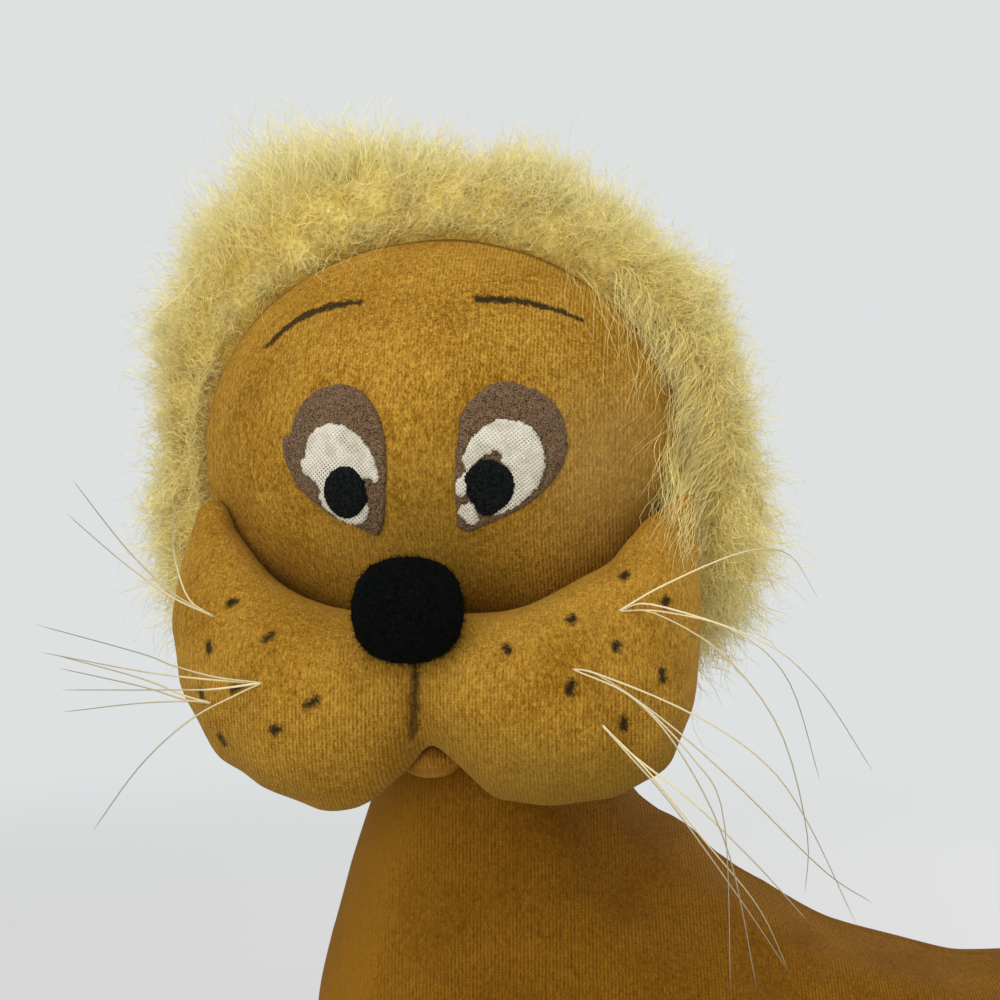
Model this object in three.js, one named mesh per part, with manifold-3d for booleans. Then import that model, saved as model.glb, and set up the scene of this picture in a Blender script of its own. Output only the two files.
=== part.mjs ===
// A lying plush lion: velour trunk, legs, tail and face, a long-pile mane and tail tuft,
// felt eyes and nose, and bristle whiskers threaded through the cheeks.
// Millimetres, +Z up. The front paws point to -X and the face looks to -Y, over the lion's left flank.
// The origin is the middle of the flat patch that the belly rests on.

import * as THREE from "three";
import { mergeVertices } from "three/addons/utils/BufferGeometryUtils.js";
import Module from "manifold-3d";

const wasm = await Module();
wasm.setup();

// How the pieces meet
const seatGap = 0.3; // left between a piece and what it is sewn or glued to
const flatCut = 0.5; // how far the stuffing gives where the lion rests on the floor
const coverThickness = 1.6; // velour with its backing
const overrun = 20; // how far a cutting form runs past what it cuts
const weldDistance = 1e-4; // points closer than this are one point

// Facets: sides round a form, tiers from pole to pole, and steps along a seam or a hair
const trunkSides = 18;
const paddingSides = 12; // the stuffing is one pad inside the cover, so it needs fewer
const neckMouthSides = 16;
const skullSides = 22;
const skullTiers = 14;
const seamSteps = 32;
const muzzleSides = 16;
const noseSides = 16;
const noseTiers = 9;
const chinSides = 12;
const chinTiers = 8;
const eyeSteps = 7;
const knotSides = 8;
const knotTiers = 5;
const hairSteps = 10;
const limbSides = 10;
const thighSides = 18;
const thighTiers = 10;
const tailSides = 8;
const tailSpots = 9;

// Trunk and neck, one velour cover with its stuffing
const trunkLength = 288;
const trunkWidth = 108;
const loinHeight = 93; // floor to the back at the loin
const neckHeight = 186; // floor to the top of the neck, inside the head
const rumpDepth = 32; // how far the rump bulges behind the last section
const neckCrown = 6; // how far the neck's closed end domes
const neckMouthRadius = 15; // the opening left in the cover at the top of the neck

// Head
const headWidth = 134;
const headDepth = 118;
const headHeight = 118;
const headRise = 45; // head's centre above the top of the neck
const headForwardShare = -0.333; // head's centre along the trunk, a share of the trunk's length
const headTurn = THREE.MathUtils.degToRad(6); // how far the face stays short of looking square over the flank

// Muzzle: one cushion with two lobes and an upturned horn at each end
const muzzleWidth = 134;
const muzzleHeight = 74; // lobe bottoms to horn tips
const muzzleDepth = 44; // front to back of a lobe
const muzzleDrop = 91; // head's centre down to the lobe bottoms
const muzzleReach = 52; // head's centre forward to the lobes' middle
const hornCrown = 3;

// Nose and chin
const noseWidth = 25.4;
const noseHeight = 24;
const noseDepth = 23;
const noseDrop = 40.8;
const noseReach = 70;
const noseShift = -1.3;
const chinWidth = 28;
const chinDepth = 27;
const chinHeight = 38;
const chinDrop = 64.7;
const chinReach = 42;

// Eyes: three glued layers, brown felt, white cloth and a black felt pupil
const feltThickness = 1.1;
const clothThickness = 0.7;
const eyeShift = -0.5; // middle between the eyes, measured to the lion's right
const eyeSpacing = 18.6; // between the inner edges of the brown patches
const patchWidth = 26.2;
const patchHeight = 36.1;
const patchDrop = 22.8; // head's centre down to the tip of the brown patch
const whiteWidth = 20.4;
const whiteHeight = 25.4;
const whiteInset = 1.2; // from the patch's inner edge
const whiteLift = 1.6; // above the patch's tip
const pupilWidth = 11.8;
const pupilHeight = 13.6;
const pupilInset = 8.7; // pupil's middle from the patch's inner edge
const pupilShift = -0.8; // both pupils look a little to the lion's right
const pupilLift = 10.2; // pupil's middle above the patch's tip

// Mane: long-pile fabric over the top, sides and back of the head
const pileLength = 20; // at the sides of the head
const maneTuft = 2.4; // how far the pile clumps stand out or sink

// Whiskers
const whiskerLength = 80;
const whiskerThickness = 0.7;
const knotRadius = 1.2;

// Front legs
const forelegLength = 134;
const forelegWidth = 34;
const shoulderHeight = 64;
const pawWidth = 40;
const pawHeight = 35;
const forepawReachShare = 0.66; // middle of the paw ahead of the origin, a share of the trunk's length

// Hind legs
const thighLength = 88;
const thighHeight = 84;
const thighThickness = 40;
const footLength = 92;
const footWidth = 29;
const footHeight = 26;

// Tail
const tailThickness = 17;
const tuftLength = 52;
const tuftThickness = 34;

// A closed geometry from its points and its triangles, turned so that its faces point out.
function closedGeometry(points, triangles) {
  const volume = triangles.reduce((sum, [a, b, c]) => {
    const cross = new THREE.Vector3().crossVectors(points[b], points[c]);
    return sum + points[a].dot(cross);
  }, 0);
  const outward = volume < 0 ? triangles.map(([a, b, c]) => [a, c, b]) : triangles;
  const geometry = new THREE.BufferGeometry().setFromPoints(points);
  geometry.setIndex(outward.flat());
  return geometry;
}

// A stack of equal rings closed by a point at each end.
function ringStack(startPoint, rings, endPoint) {
  const sides = rings[0].length;
  const points = [startPoint, ...rings.flat(), endPoint];
  const last = points.length - 1;
  const triangles = [];
  for (let k = 0; k < sides; k++) {
    const next = (k + 1) % sides;
    triangles.push([0, 1 + k, 1 + next]);
    for (let r = 0; r < rings.length - 1; r++) {
      const low = 1 + r * sides;
      const high = low + sides;
      triangles.push([low + k, high + k, high + next], [low + k, high + next, low + next]);
    }
    const top = 1 + (rings.length - 1) * sides;
    triangles.push([last, top + next, top + k]);
  }
  return closedGeometry(points, triangles);
}

const signedPower = (value, power) => Math.sign(value) * Math.abs(value) ** power;

// One section of a stuffed form: its middle, and the half width and half height as vectors.
const section = (middle, across, up) => ({ middle, across, up });

// A stuffed form through its key sections, smoothed between them and domed at both ends.
// squareness 2 is an ellipse and more is boxier; grow makes the same form larger all round.
function stuffedForm(keys, { sides, perSpan, domes, domeRings = 3, squareness = 2.2, grow = 0 }) {
  const track = (name) => new THREE.CatmullRomCurve3(keys.map((key) => key[name]), false, "catmullrom", 0.5);
  const tracks = { middle: track("middle"), across: track("across"), up: track("up") };
  const count = (keys.length - 1) * perSpan;
  const grown = (vector) => vector.clone().setLength(vector.length() + grow);
  const sections = Array.from({ length: count + 1 }, (_, i) => {
    const t = i / count;
    return section(
      tracks.middle.getPoint(t),
      grown(tracks.across.getPoint(t)),
      grown(tracks.up.getPoint(t)),
    );
  });
  const ring = ({ middle, across, up }, scale = 1, shift = new THREE.Vector3()) =>
    Array.from({ length: sides }, (_, k) => {
      const angle = (k / sides) * 2 * Math.PI;
      return middle
        .clone()
        .add(shift)
        .addScaledVector(across, scale * signedPower(Math.cos(angle), 2 / squareness))
        .addScaledVector(up, scale * signedPower(Math.sin(angle), 2 / squareness));
    });
  const dome = (end, inner, depth) => {
    const axis = new THREE.Vector3().crossVectors(end.across, end.up).normalize();
    if (axis.dot(inner.middle.clone().sub(end.middle)) > 0) axis.negate();
    const reach = depth + grow;
    const rings = Array.from({ length: domeRings }, (_, i) => {
      const angle = ((i + 1) / (domeRings + 1)) * (Math.PI / 2);
      return ring(end, Math.cos(angle), axis.clone().multiplyScalar(reach * Math.sin(angle)));
    });
    return { rings, tip: end.middle.clone().addScaledVector(axis, reach) };
  };
  const start = dome(sections[0], sections[1], domes[0]);
  const finish = dome(sections[count], sections[count - 1], domes[1]);
  const rings = [...start.rings.reverse(), ...sections.map((each) => ring(each)), ...finish.rings];
  return ringStack(start.tip, rings, finish.tip);
}

// Geometry to solid and back, for joining and cutting.
function solidOf(geometry) {
  const bare = new THREE.BufferGeometry().setAttribute("position", geometry.getAttribute("position"));
  if (geometry.index) bare.setIndex(geometry.index);
  const merged = mergeVertices(bare, weldDistance);
  return new wasm.Manifold(
    new wasm.Mesh({
      numProp: 3,
      vertProperties: Float32Array.from(merged.attributes.position.array),
      triVerts: Uint32Array.from(merged.index.array),
    }),
  );
}

function geometryOf(solid) {
  const mesh = solid.getMesh();
  const geometry = new THREE.BufferGeometry();
  geometry.setAttribute("position", new THREE.BufferAttribute(mesh.vertProperties, 3));
  geometry.setIndex(new THREE.BufferAttribute(mesh.triVerts, 1));
  geometry.computeVertexNormals();
  return geometry;
}

const cutBy = (solid, ...tools) => tools.reduce((left, tool) => left.subtract(tool), solid);

// An ellipsoid with its poles up and down; squareness above 2 makes it boxier.
function ellipsoid(width, depth, height, around, down, squareness = 2) {
  const geometry = new THREE.SphereGeometry(1, around, down).rotateX(Math.PI / 2);
  const position = geometry.getAttribute("position");
  for (let i = 0; i < position.count; i++) {
    const point = new THREE.Vector3().fromBufferAttribute(position, i);
    const spread = ["x", "y", "z"].reduce((sum, k) => sum + Math.abs(point[k]) ** squareness, 0);
    point.multiplyScalar(spread ** (-1 / squareness));
    position.setXYZ(i, point.x * width / 2, point.y * depth / 2, point.z * height / 2);
  }
  return geometry;
}

// Everything above the floor, for pressing the resting forms flat.
const roomSize = 4 * trunkLength;
const aboveFloor = solidOf(
  new THREE.BoxGeometry(roomSize, roomSize, roomSize).translate(0, 0, roomSize / 2),
);
const pressedFlat = (solid) => solid.intersect(aboveFloor);

// Trunk: each row runs from the back down to the belly or chest, from the rump to the top of the neck.
// Columns: back x, back z, belly x, belly z, width. Places along the trunk are shares of its length. Heights
// run from 0 at the floor to 1 at the loin and 2 at the top of the neck. Widths are shares of the full width.
const trunkShares = [
  [0.403, 0.92, 0.41, 0.06, 0.84],
  [0.306, 1.0, 0.306, 0, 1.0],
  [0.156, 0.99, 0.156, 0, 0.98],
  [0.021, 1.1, -0.007, 0, 0.93],
  [-0.083, 1.29, -0.167, 0, 0.91],
  [-0.139, 1.41, -0.32, 0.03, 0.89],
  [-0.167, 1.505, -0.424, 0.215, 0.85],
  [-0.184, 1.61, -0.465, 0.54, 0.8],
  [-0.194, 1.72, -0.458, 0.9, 0.72],
  [-0.201, 1.82, -0.427, 1.27, 0.65],
  [-0.212, 1.91, -0.392, 1.61, 0.57],
  [-0.229, 2.0, -0.361, 1.85, 0.48],
];
const heightAt = (share) =>
  share <= 1 ? share * loinHeight : loinHeight + (share - 1) * (neckHeight - loinHeight);

function trunkForm(grow, sides = trunkSides) {
  const keys = trunkShares.map(([backX, backZ, bellyX, bellyZ, width]) => {
    const back = new THREE.Vector3(backX * trunkLength, 0, heightAt(backZ));
    const belly = new THREE.Vector3(bellyX * trunkLength, 0, heightAt(bellyZ) - flatCut);
    const middle = back.clone().add(belly).multiplyScalar(0.5);
    return section(middle, new THREE.Vector3(0, width * trunkWidth / 2, 0), back.sub(middle));
  });
  return stuffedForm(keys, { sides, perSpan: 1, domes: [rumpDepth, neckCrown], squareness: 2.3, grow });
}

const trunkInside = solidOf(trunkForm(-coverThickness, paddingSides));
const neckTopMiddle = new THREE.Vector3(
  (trunkShares.at(-1)[0] + trunkShares.at(-1)[2]) * trunkLength / 2,
  0,
  neckHeight,
);
const neckMouth = solidOf(
  new THREE.CylinderGeometry(neckMouthRadius, neckMouthRadius, 2 * overrun, neckMouthSides)
    .rotateX(Math.PI / 2)
    .translate(neckTopMiddle.x, neckTopMiddle.y, neckTopMiddle.z),
);
const trunkCover = cutBy(pressedFlat(solidOf(trunkForm(0))), trunkInside, neckMouth);
const trunkPadding = solidOf(trunkForm(-coverThickness - seatGap, paddingSides));
const trunkTool = solidOf(trunkForm(seatGap));

// The head stands in its own group, so its pieces are modelled about its centre with the face to -Y.
const head = new THREE.Group();
head.position.set(headForwardShare * trunkLength, 0, neckHeight + headRise);
head.rotation.z = -headTurn;
head.updateMatrixWorld(true);
const intoHead = head.matrixWorld.clone().invert();
const trunkToolInHead = solidOf(trunkForm(seatGap).applyMatrix4(intoHead));

function skull(grow) {
  const extent = [headWidth, headDepth, headHeight].map((size) => size + 2 * grow);
  return solidOf(ellipsoid(...extent, skullSides, skullTiers));
}

// The seam between the velour face and the mane, as an angle from straight ahead, round the face.
const seamAtSides = THREE.MathUtils.degToRad(74);
const seamLiftAtTop = THREE.MathUtils.degToRad(10);
const seamUnderHead = THREE.MathUtils.degToRad(52);
const underShare = 0.62; // how far down the face the seam starts to run back under the head
function seamAngle(around) {
  const down = THREE.MathUtils.smoothstep(-Math.sin(around), underShare, 1);
  return seamAtSides - seamLiftAtTop * Math.max(0, Math.sin(around)) + seamUnderHead * down;
}

// A direction by its angle from straight ahead and its angle round the face, as a point on the unit sphere.
const facing = (ahead, around) =>
  new THREE.Vector3(
    Math.sin(ahead) * Math.cos(around),
    -Math.cos(ahead),
    Math.sin(ahead) * Math.sin(around),
  );
// How far the head's surface is from its centre in a direction.
const skullRadius = (way) =>
  1 / Math.hypot(way.x / (headWidth / 2), way.y / (headDepth / 2), way.z / (headHeight / 2));

// The cone from the head's centre through the seam, which holds the velour face.
function seamCone(grow) {
  const reach = 2 * headWidth;
  const widening = grow / (headWidth / 2);
  const rim = Array.from({ length: seamSteps }, (_, i) => {
    const around = (i / seamSteps) * 2 * Math.PI;
    return facing(seamAngle(around) + widening, around).multiplyScalar(reach);
  });
  return ringStack(new THREE.Vector3(), [rim], facing(0, 0).multiplyScalar(reach));
}

// The mane: pile height over the head behind the seam, fuller at the top right and the lower sides.
const lipAngle = THREE.MathUtils.degToRad(17);
const tuckIn = 2 * coverThickness; // how deep the mane's edge turns in at the seam
// Pile heights at even steps round the face, from the lion's left over the top.
const pileHeightShares = [0.55, 0.85, 0.95, 0.95, 1.55, 1.15, 0.75, 1.3, 1.2, 0.95, 1.2, 1.4];
function fullness(around) {
  const steps = pileHeightShares.length;
  const place = (around / (2 * Math.PI)) * steps;
  const before = Math.floor(place);
  const mix = THREE.MathUtils.smoothstep(place - before, 0, 1);
  return THREE.MathUtils.lerp(pileHeightShares[before % steps], pileHeightShares[(before + 1) % steps], mix);
}
function pileHeight(behindSeam, ahead, around) {
  const lip = Math.sqrt(1 - (1 - Math.min(1, behindSeam / lipAngle)) ** 2);
  const ring = Math.sin(ahead); // fades to nothing straight behind
  const clumps =
    Math.sin(5 * around + 1) + 0.7 * Math.sin(9 * around + 2.4) + 0.8 * Math.sin(6 * ahead + 3 * around);
  const pile = pileLength * THREE.MathUtils.lerp(1, fullness(around), ring);
  return lip * (pile + (ring * clumps * maneTuft) / 2);
}

const maneRowShares = [0, 0.04, 0.1, 0.18, 0.29, 0.41, 0.53, 0.65, 0.77, 0.9];
function maneForm() {
  const rows = maneRowShares.map((rowShare) =>
    Array.from({ length: seamSteps }, (_, i) => {
      const around = (i / seamSteps) * 2 * Math.PI;
      const seam = seamAngle(around);
      const behindSeam = rowShare * (Math.PI - seam);
      const way = facing(seam + behindSeam, around);
      const pile = behindSeam > 0 ? pileHeight(behindSeam, seam + behindSeam, around) : -tuckIn;
      return way.multiplyScalar(skullRadius(way) + pile);
    }),
  );
  const front = facing(0, 0).multiplyScalar(headDepth / 4);
  const back = facing(Math.PI, 0).multiplyScalar(headDepth / 2 + pileHeight(Math.PI, Math.PI, 0));
  return ringStack(front, rows, back);
}

// Muzzle: each row is a section from the top edge to the bottom edge, from near the middle out to the horn
// tip. Columns: top x, top z, bottom x, bottom z, middle y, depth. x are shares of the half width, z shares
// of the height above the lobe bottoms, y shares of the reach and depth a share of the full depth.
const muzzleMiddleShares = [0, 0.655, 0.03, 0.215, 0.96, 0.7];
const leftLobeShares = [
  [0.12, 0.658, 0.13, 0.15, 0.98, 0.82],
  [0.25, 0.663, 0.26, 0.045, 1, 0.93],
  [0.39, 0.683, 0.46, 0.02, 1, 1],
  [0.53, 0.72, 0.7, 0.05, 0.96, 1],
  [0.66, 0.775, 0.89, 0.14, 0.885, 0.91],
  [0.76, 0.845, 0.985, 0.35, 0.79, 0.77],
  [0.83, 0.91, 1.01, 0.6, 0.71, 0.61],
  [0.88, 0.965, 1, 0.81, 0.635, 0.45],
  [0.915, 1.01, 0.975, 0.96, 0.58, 0.27],
];
const rightLobeShares = [
  [0.12, 0.658, 0.08, 0.115, 0.98, 0.82],
  [0.24, 0.662, 0.19, 0.03, 1, 0.93],
  [0.37, 0.683, 0.36, 0, 1, 1],
  [0.48, 0.73, 0.58, 0.055, 0.96, 1],
  [0.59, 0.8, 0.8, 0.19, 0.885, 0.91],
  [0.68, 0.87, 0.94, 0.37, 0.79, 0.77],
  [0.735, 0.935, 1, 0.6, 0.71, 0.61],
  [0.77, 0.985, 0.985, 0.8, 0.635, 0.45],
  [0.805, 1.02, 0.94, 0.97, 0.58, 0.27],
];
function muzzleForm(grow) {
  const keysOf = (side, rows) =>
    rows.map(([topX, topZ, bottomX, bottomZ, y, depth]) => {
      const place = (x, z) =>
        new THREE.Vector3((side * x * muzzleWidth) / 2, -y * muzzleReach, z * muzzleHeight - muzzleDrop);
      const top = place(topX, topZ);
      const middle = top.clone().add(place(bottomX, bottomZ)).multiplyScalar(0.5);
      return section(middle, new THREE.Vector3(0, (depth * muzzleDepth) / 2, 0), top.sub(middle));
    });
  const keys = [
    ...keysOf(-1, rightLobeShares).reverse(),
    ...keysOf(1, [muzzleMiddleShares, ...leftLobeShares]),
  ];
  const domes = [hornCrown, hornCrown];
  return stuffedForm(keys, { sides: muzzleSides, perSpan: 1, domes, domeRings: 2, grow });
}

const skullTool = skull(seatGap);
const muzzleTool = solidOf(muzzleForm(seatGap));
const muzzle = cutBy(solidOf(muzzleForm(0)), skullTool, trunkToolInHead);

const faceCone = solidOf(seamCone(0));
const maneOpening = solidOf(seamCone(seatGap));
const facePanel = cutBy(skull(0), skull(-coverThickness)).intersect(faceCone);
const headPadding = skull(-coverThickness - seatGap);
const mane = cutBy(solidOf(maneForm()), skull(seatGap - coverThickness), muzzleTool, trunkToolInHead);

const noseBall = ellipsoid(noseWidth, noseDepth, noseHeight, noseSides, noseTiers, 2.5);
const nose = cutBy(
  solidOf(noseBall.translate(noseShift, -noseReach, -noseDrop)),
  skullTool,
  muzzleTool,
);
const chinBall = ellipsoid(chinWidth, chinDepth, chinHeight, chinSides, chinTiers);
const chin = cutBy(
  solidOf(chinBall.translate(0, -chinReach, -chinDrop)),
  skullTool,
  muzzleTool,
  trunkToolInHead,
);

// Eyes. A teardrop with its straight edge inwards and its point at the bottom, in shares of its width,
// from the inner edge outwards, and of its height.
function teardrop(innerX, tipZ, width, height, side) {
  const x = (share) => innerX + side * share * width;
  const z = (share) => tipZ + share * height;
  const shape = new THREE.Shape();
  shape.moveTo(x(0.06), z(0));
  shape.bezierCurveTo(x(-0.03), z(0.4), x(-0.03), z(1), x(0.5), z(1));
  shape.bezierCurveTo(x(0.82), z(1), x(1), z(0.84), x(1), z(0.62));
  shape.bezierCurveTo(x(1), z(0.32), x(0.62), z(0.02), x(0.06), z(0));
  return shape;
}

// A flat shape pushed onto the face and kept where it lies between two heights over the velour.
function layerOnFace(shape, from, thickness) {
  const stamp = new THREE.ExtrudeGeometry(shape, {
    depth: headDepth / 2 + overrun,
    bevelEnabled: false,
    curveSegments: eyeSteps,
  }).rotateX(Math.PI / 2);
  return solidOf(stamp).intersect(skull(from + thickness)).subtract(skull(from));
}

// The lowest layer lies on the velour and each of the others on the layer under it.
const whiteFrom = seatGap + feltThickness + seatGap;
const pupilFrom = whiteFrom + clothThickness + seatGap;
function eyeLayers(side) {
  const innerX = eyeShift + (side * eyeSpacing) / 2;
  const patch = teardrop(innerX, -patchDrop, patchWidth, patchHeight, side);
  const whiteX = innerX + side * whiteInset;
  const white = teardrop(whiteX, whiteLift - patchDrop, whiteWidth, whiteHeight, side);
  const pupil = new THREE.Shape();
  const pupilX = innerX + side * pupilInset + pupilShift;
  pupil.absellipse(pupilX, pupilLift - patchDrop, pupilWidth / 2, pupilHeight / 2, 0, 2 * Math.PI);
  return {
    patch: layerOnFace(patch, seatGap, feltThickness),
    white: layerOnFace(white, whiteFrom, clothThickness),
    pupil: layerOnFace(pupil, pupilFrom, feltThickness),
  };
}

// Whiskers: bundles knotted behind the velour and threaded out through it. A bundle's root is a share of
// the muzzle's half width and of its height above the lobe bottoms. Each strand gives its tip and its
// middle, out to the side, up and ahead of the root, as shares of the whisker length.
const whiskerBundles = {
  whiskers_left_upper: {
    side: 1,
    root: [0.72, 0.67],
    strands: [
      [0.585, 0.03, 0.04, 0.35, 0.17, 0],
      [0.81, -0.64, 0.12, 0.41, -0.085, 0.03],
      [0.59, -0.51, 0.16, 0.42, -0.11, 0.06],
      [0.54, -0.83, 0.08, 0.41, -0.26, 0.04],
    ],
  },
  whiskers_left_middle: {
    side: 1,
    root: [0.56, 0.5],
    strands: [
      [0.84, -0.76, -0.2, 0.53, -0.25, -0.16],
      [1.03, -0.8, -0.14, 0.47, -0.33, -0.13],
      [0.475, -1.0, -0.36, 0.39, -0.345, -0.22],
      [0.56, -0.98, -0.28, 0.36, -0.336, -0.19],
    ],
  },
  whiskers_left_lower: {
    side: 1,
    root: [0.66, 0.33],
    strands: [
      [0.62, -0.59, 0.1, 0.27, -0.225, 0.02],
      [0.55, -0.72, 0.02, 0.285, -0.33, 0],
      [0.57, -0.74, 0.06, 0.38, -0.42, 0.02],
    ],
  },
  whiskers_right_upper: {
    side: -1,
    root: [0.76, 0.64],
    strands: [
      [0.1, 0.43, -0.12, 0.15, 0.22, -0.08],
      [0.45, 0.33, -0.1, 0.22, 0.15, -0.07],
      [0.5, 0.43, -0.02, 0.26, 0.2, -0.04],
    ],
  },
  whiskers_right_middle: {
    side: -1,
    root: [0.55, 0.44],
    strands: [
      [0.74, 0.2, -0.1, 0.36, 0.07, -0.13],
      [0.78, 0.06, -0.04, 0.36, 0.03, -0.12],
      [0.72, -0.02, -0.18, 0.34, -0.01, -0.15],
      [0.5, -0.46, -0.14, 0.27, -0.15, -0.12],
    ],
  },
  whiskers_right_lower: {
    side: -1,
    root: [0.755, 0.36],
    strands: [
      [0.56, 0.18, -0.08, 0.28, 0.07, -0.07],
      [0.58, 0.08, -0.02, 0.28, 0.03, -0.05],
      [0.54, -0.04, -0.12, 0.27, -0.01, -0.08],
    ],
  },
};
const muzzleTarget = new THREE.Mesh(geometryOf(muzzle));
function bundle({ side, root: [rootX, rootZ], strands }) {
  const x = (side * rootX * muzzleWidth) / 2;
  const z = rootZ * muzzleHeight - muzzleDrop;
  const ray = new THREE.Raycaster(new THREE.Vector3(x, -2 * headDepth, z), new THREE.Vector3(0, 1, 0));
  const [hit] = ray.intersectObject(muzzleTarget);
  const knotMiddle = hit.point.clone().addScaledVector(hit.face.normal, knotRadius + seatGap);
  const profile = new THREE.Shape();
  profile.absarc(0, 0, whiskerThickness / 2, 0, 2 * Math.PI);
  const hairs = strands.map(([tipOut, tipUp, tipAhead, outward, upward, ahead]) => {
    const from = (out, up, forward) =>
      knotMiddle
        .clone()
        .add(new THREE.Vector3(side * out, forward, up).multiplyScalar(whiskerLength));
    const path = new THREE.CatmullRomCurve3([
      knotMiddle,
      from(outward, upward, ahead),
      from(tipOut, tipUp, tipAhead),
    ]);
    const asHair = { steps: hairSteps, extrudePath: path, curveSegments: 2 };
    return solidOf(new THREE.ExtrudeGeometry(profile, asHair));
  });
  const knot = solidOf(
    new THREE.SphereGeometry(knotRadius, knotSides, knotTiers).translate(...knotMiddle.toArray()),
  );
  return hairs.reduce((joined, hair) => joined.add(hair), knot);
}

// Legs lie on the floor. Each key gives the distance behind the paw and the shares of width and height.
function lyingLeg(keys, pawX, sideY, splay, width, height) {
  return keys.map(([behind, wide, high]) => {
    const halfHeight = (high * height) / 2;
    return section(
      new THREE.Vector3(pawX + behind, sideY + splay * behind, halfHeight - flatCut),
      new THREE.Vector3(0, (wide * width) / 2, 0),
      new THREE.Vector3(0, 0, halfHeight),
    );
  });
}

// Front leg: a paw wider than the wrist, and a forearm that swells into the shoulder.
const forelegAxisShare = 0.74; // middle of the paw out from the trunk's middle, a share of the half width
const forelegSplayShare = 0.05; // how far the leg runs outwards towards the shoulder, a share of its length
function forelegForm(side, grow) {
  const paw = pawHeight / shoulderHeight;
  const pawSpread = pawWidth / forelegWidth;
  const keys = lyingLeg(
    [
      [0, 0.84 * pawSpread, 0.86 * paw],
      [0.13 * forelegLength, pawSpread, paw],
      [0.36 * forelegLength, 0.88, 0.52],
      [0.6 * forelegLength, 0.95, 0.62],
      [0.82 * forelegLength, 1.04, 0.94],
      [forelegLength, 0.86, 0.88],
    ],
    -forepawReachShare * trunkLength,
    (side * forelegAxisShare * trunkWidth) / 2,
    side * forelegSplayShare,
    forelegWidth,
    shoulderHeight,
  );
  const domes = [pawWidth / 3, 0.7 * forelegWidth];
  return solidOf(stuffedForm(keys, { sides: limbSides, perSpan: 2, domes, grow }));
}

// Hind leg: a round flat thigh on the flank, and a foot that lies forward from under it.
const thighPlaceShare = 0.3; // middle of the thigh behind the origin, a share of the trunk's length
const thighSideShare = 0.86; // middle of the thigh out from the trunk's middle, a share of the half width
const thighMiddle = (side) =>
  new THREE.Vector3(
    thighPlaceShare * trunkLength,
    (side * thighSideShare * trunkWidth) / 2,
    thighHeight / 2 - flatCut,
  );
function thighForm(side, grow) {
  const middle = thighMiddle(side);
  const extent = [thighLength, thighThickness, thighHeight].map((size) => size + 2 * grow);
  return solidOf(ellipsoid(...extent, thighSides, thighTiers, 2.1).translate(...middle.toArray()));
}
const footSideShare = 0.52; // how far the foot lies out across the thigh, a share of the thigh's thickness
function footForm(side) {
  const heel = thighMiddle(side);
  const keys = lyingLeg(
    [
      [0, 1, 1],
      [0.14 * footLength, 1.08, 1.12],
      [0.42 * footLength, 0.9, 0.88],
      [footLength, 0.9, 0.95],
    ],
    heel.x - footLength,
    heel.y + (side * footSideShare * thighThickness) / 2,
    0,
    footWidth,
    footHeight,
  );
  const domes = [footWidth / 3, footWidth / 3];
  return solidOf(stuffedForm(keys, { sides: limbSides, perSpan: 2, domes }));
}

// Tail: from the rump down to the floor and forward beside the left thigh, where the tuft ends it.
const tailSide = -1;
const tailLie = tailThickness / 2 - flatCut; // height of the tail's middle where it lies on the floor
const tailClear = thighSideShare * trunkWidth / 2 + thighThickness / 2 + footWidth / 2 + tuftThickness / 2;
const rumpX = trunkShares[0][0] * trunkLength + rumpDepth;
const tailPath = [
  [rumpX - rumpDepth / 2, 0, loinHeight / 2],
  [rumpX + tailThickness / 2, tailSide * 0.05 * tailClear, loinHeight * 0.36],
  [rumpX + tailThickness * 1.2, tailSide * 0.32 * tailClear, tailLie],
  [rumpX + tailThickness * 0.3, tailSide * 0.74 * tailClear, tailLie],
  [rumpX - tailThickness * 2, tailSide * tailClear, tailLie],
  [thighPlaceShare * trunkLength, tailSide * tailClear, tailLie],
].map((place) => new THREE.Vector3(...place));
function tailForm() {
  const path = new THREE.CatmullRomCurve3(tailPath);
  const keys = Array.from({ length: tailSpots }, (_, i) => {
    const t = i / (tailSpots - 1);
    const middle = path.getPoint(t);
    const along = path.getTangent(t);
    const across = new THREE.Vector3(0, 0, 1).cross(along).setLength(tailThickness / 2);
    const up = along.clone().cross(across).setLength(tailThickness / 2);
    return section(middle, across, up);
  });
  const domes = [tailThickness / 4, tailThickness / 4];
  const build = { sides: tailSides, perSpan: 2, domes, domeRings: 1, squareness: 2 };
  return solidOf(stuffedForm(keys, build));
}
function tuftForm() {
  const tip = tailPath.at(-1);
  const shares = [
    [0, 0.5],
    [0.2, 0.84],
    [0.5, 1],
    [0.8, 0.72],
    [1, 0.34],
  ];
  const keys = shares.map(([along, thick]) => {
    const half = (thick * tuftThickness) / 2;
    return section(
      new THREE.Vector3(tip.x - along * tuftLength, tip.y, half - flatCut),
      new THREE.Vector3(0, half, 0),
      new THREE.Vector3(0, 0, half),
    );
  });
  const domes = [tailThickness / 4, tuftThickness / 6];
  return solidOf(stuffedForm(keys, { sides: limbSides, perSpan: 2, domes }));
}

// Materials, with colours as they look in plain light
const finish = (color, roughness) => new THREE.MeshStandardMaterial({ color, roughness, metalness: 0 });
const velour = finish(0xb8822c, 0.9);
const pile = finish(0xd6c684, 0.85);
const stuffing = finish(0xe6dfcf, 1);
const blackFelt = finish(0x141514, 1);
const brownFelt = finish(0x6d5138, 1);
const whiteCloth = finish(0xdcd5be, 0.95);
const bristle = finish(0xe4d7ac, 0.5);

// Assembly
const lion = new THREE.Group();
function sewn(parent, name, solid, material) {
  const mesh = new THREE.Mesh(geometryOf(solid), material);
  mesh.name = name;
  parent.add(mesh);
}

sewn(lion, "trunk_cover", trunkCover, velour);
sewn(lion, "trunk_stuffing", trunkPadding, stuffing);

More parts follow.
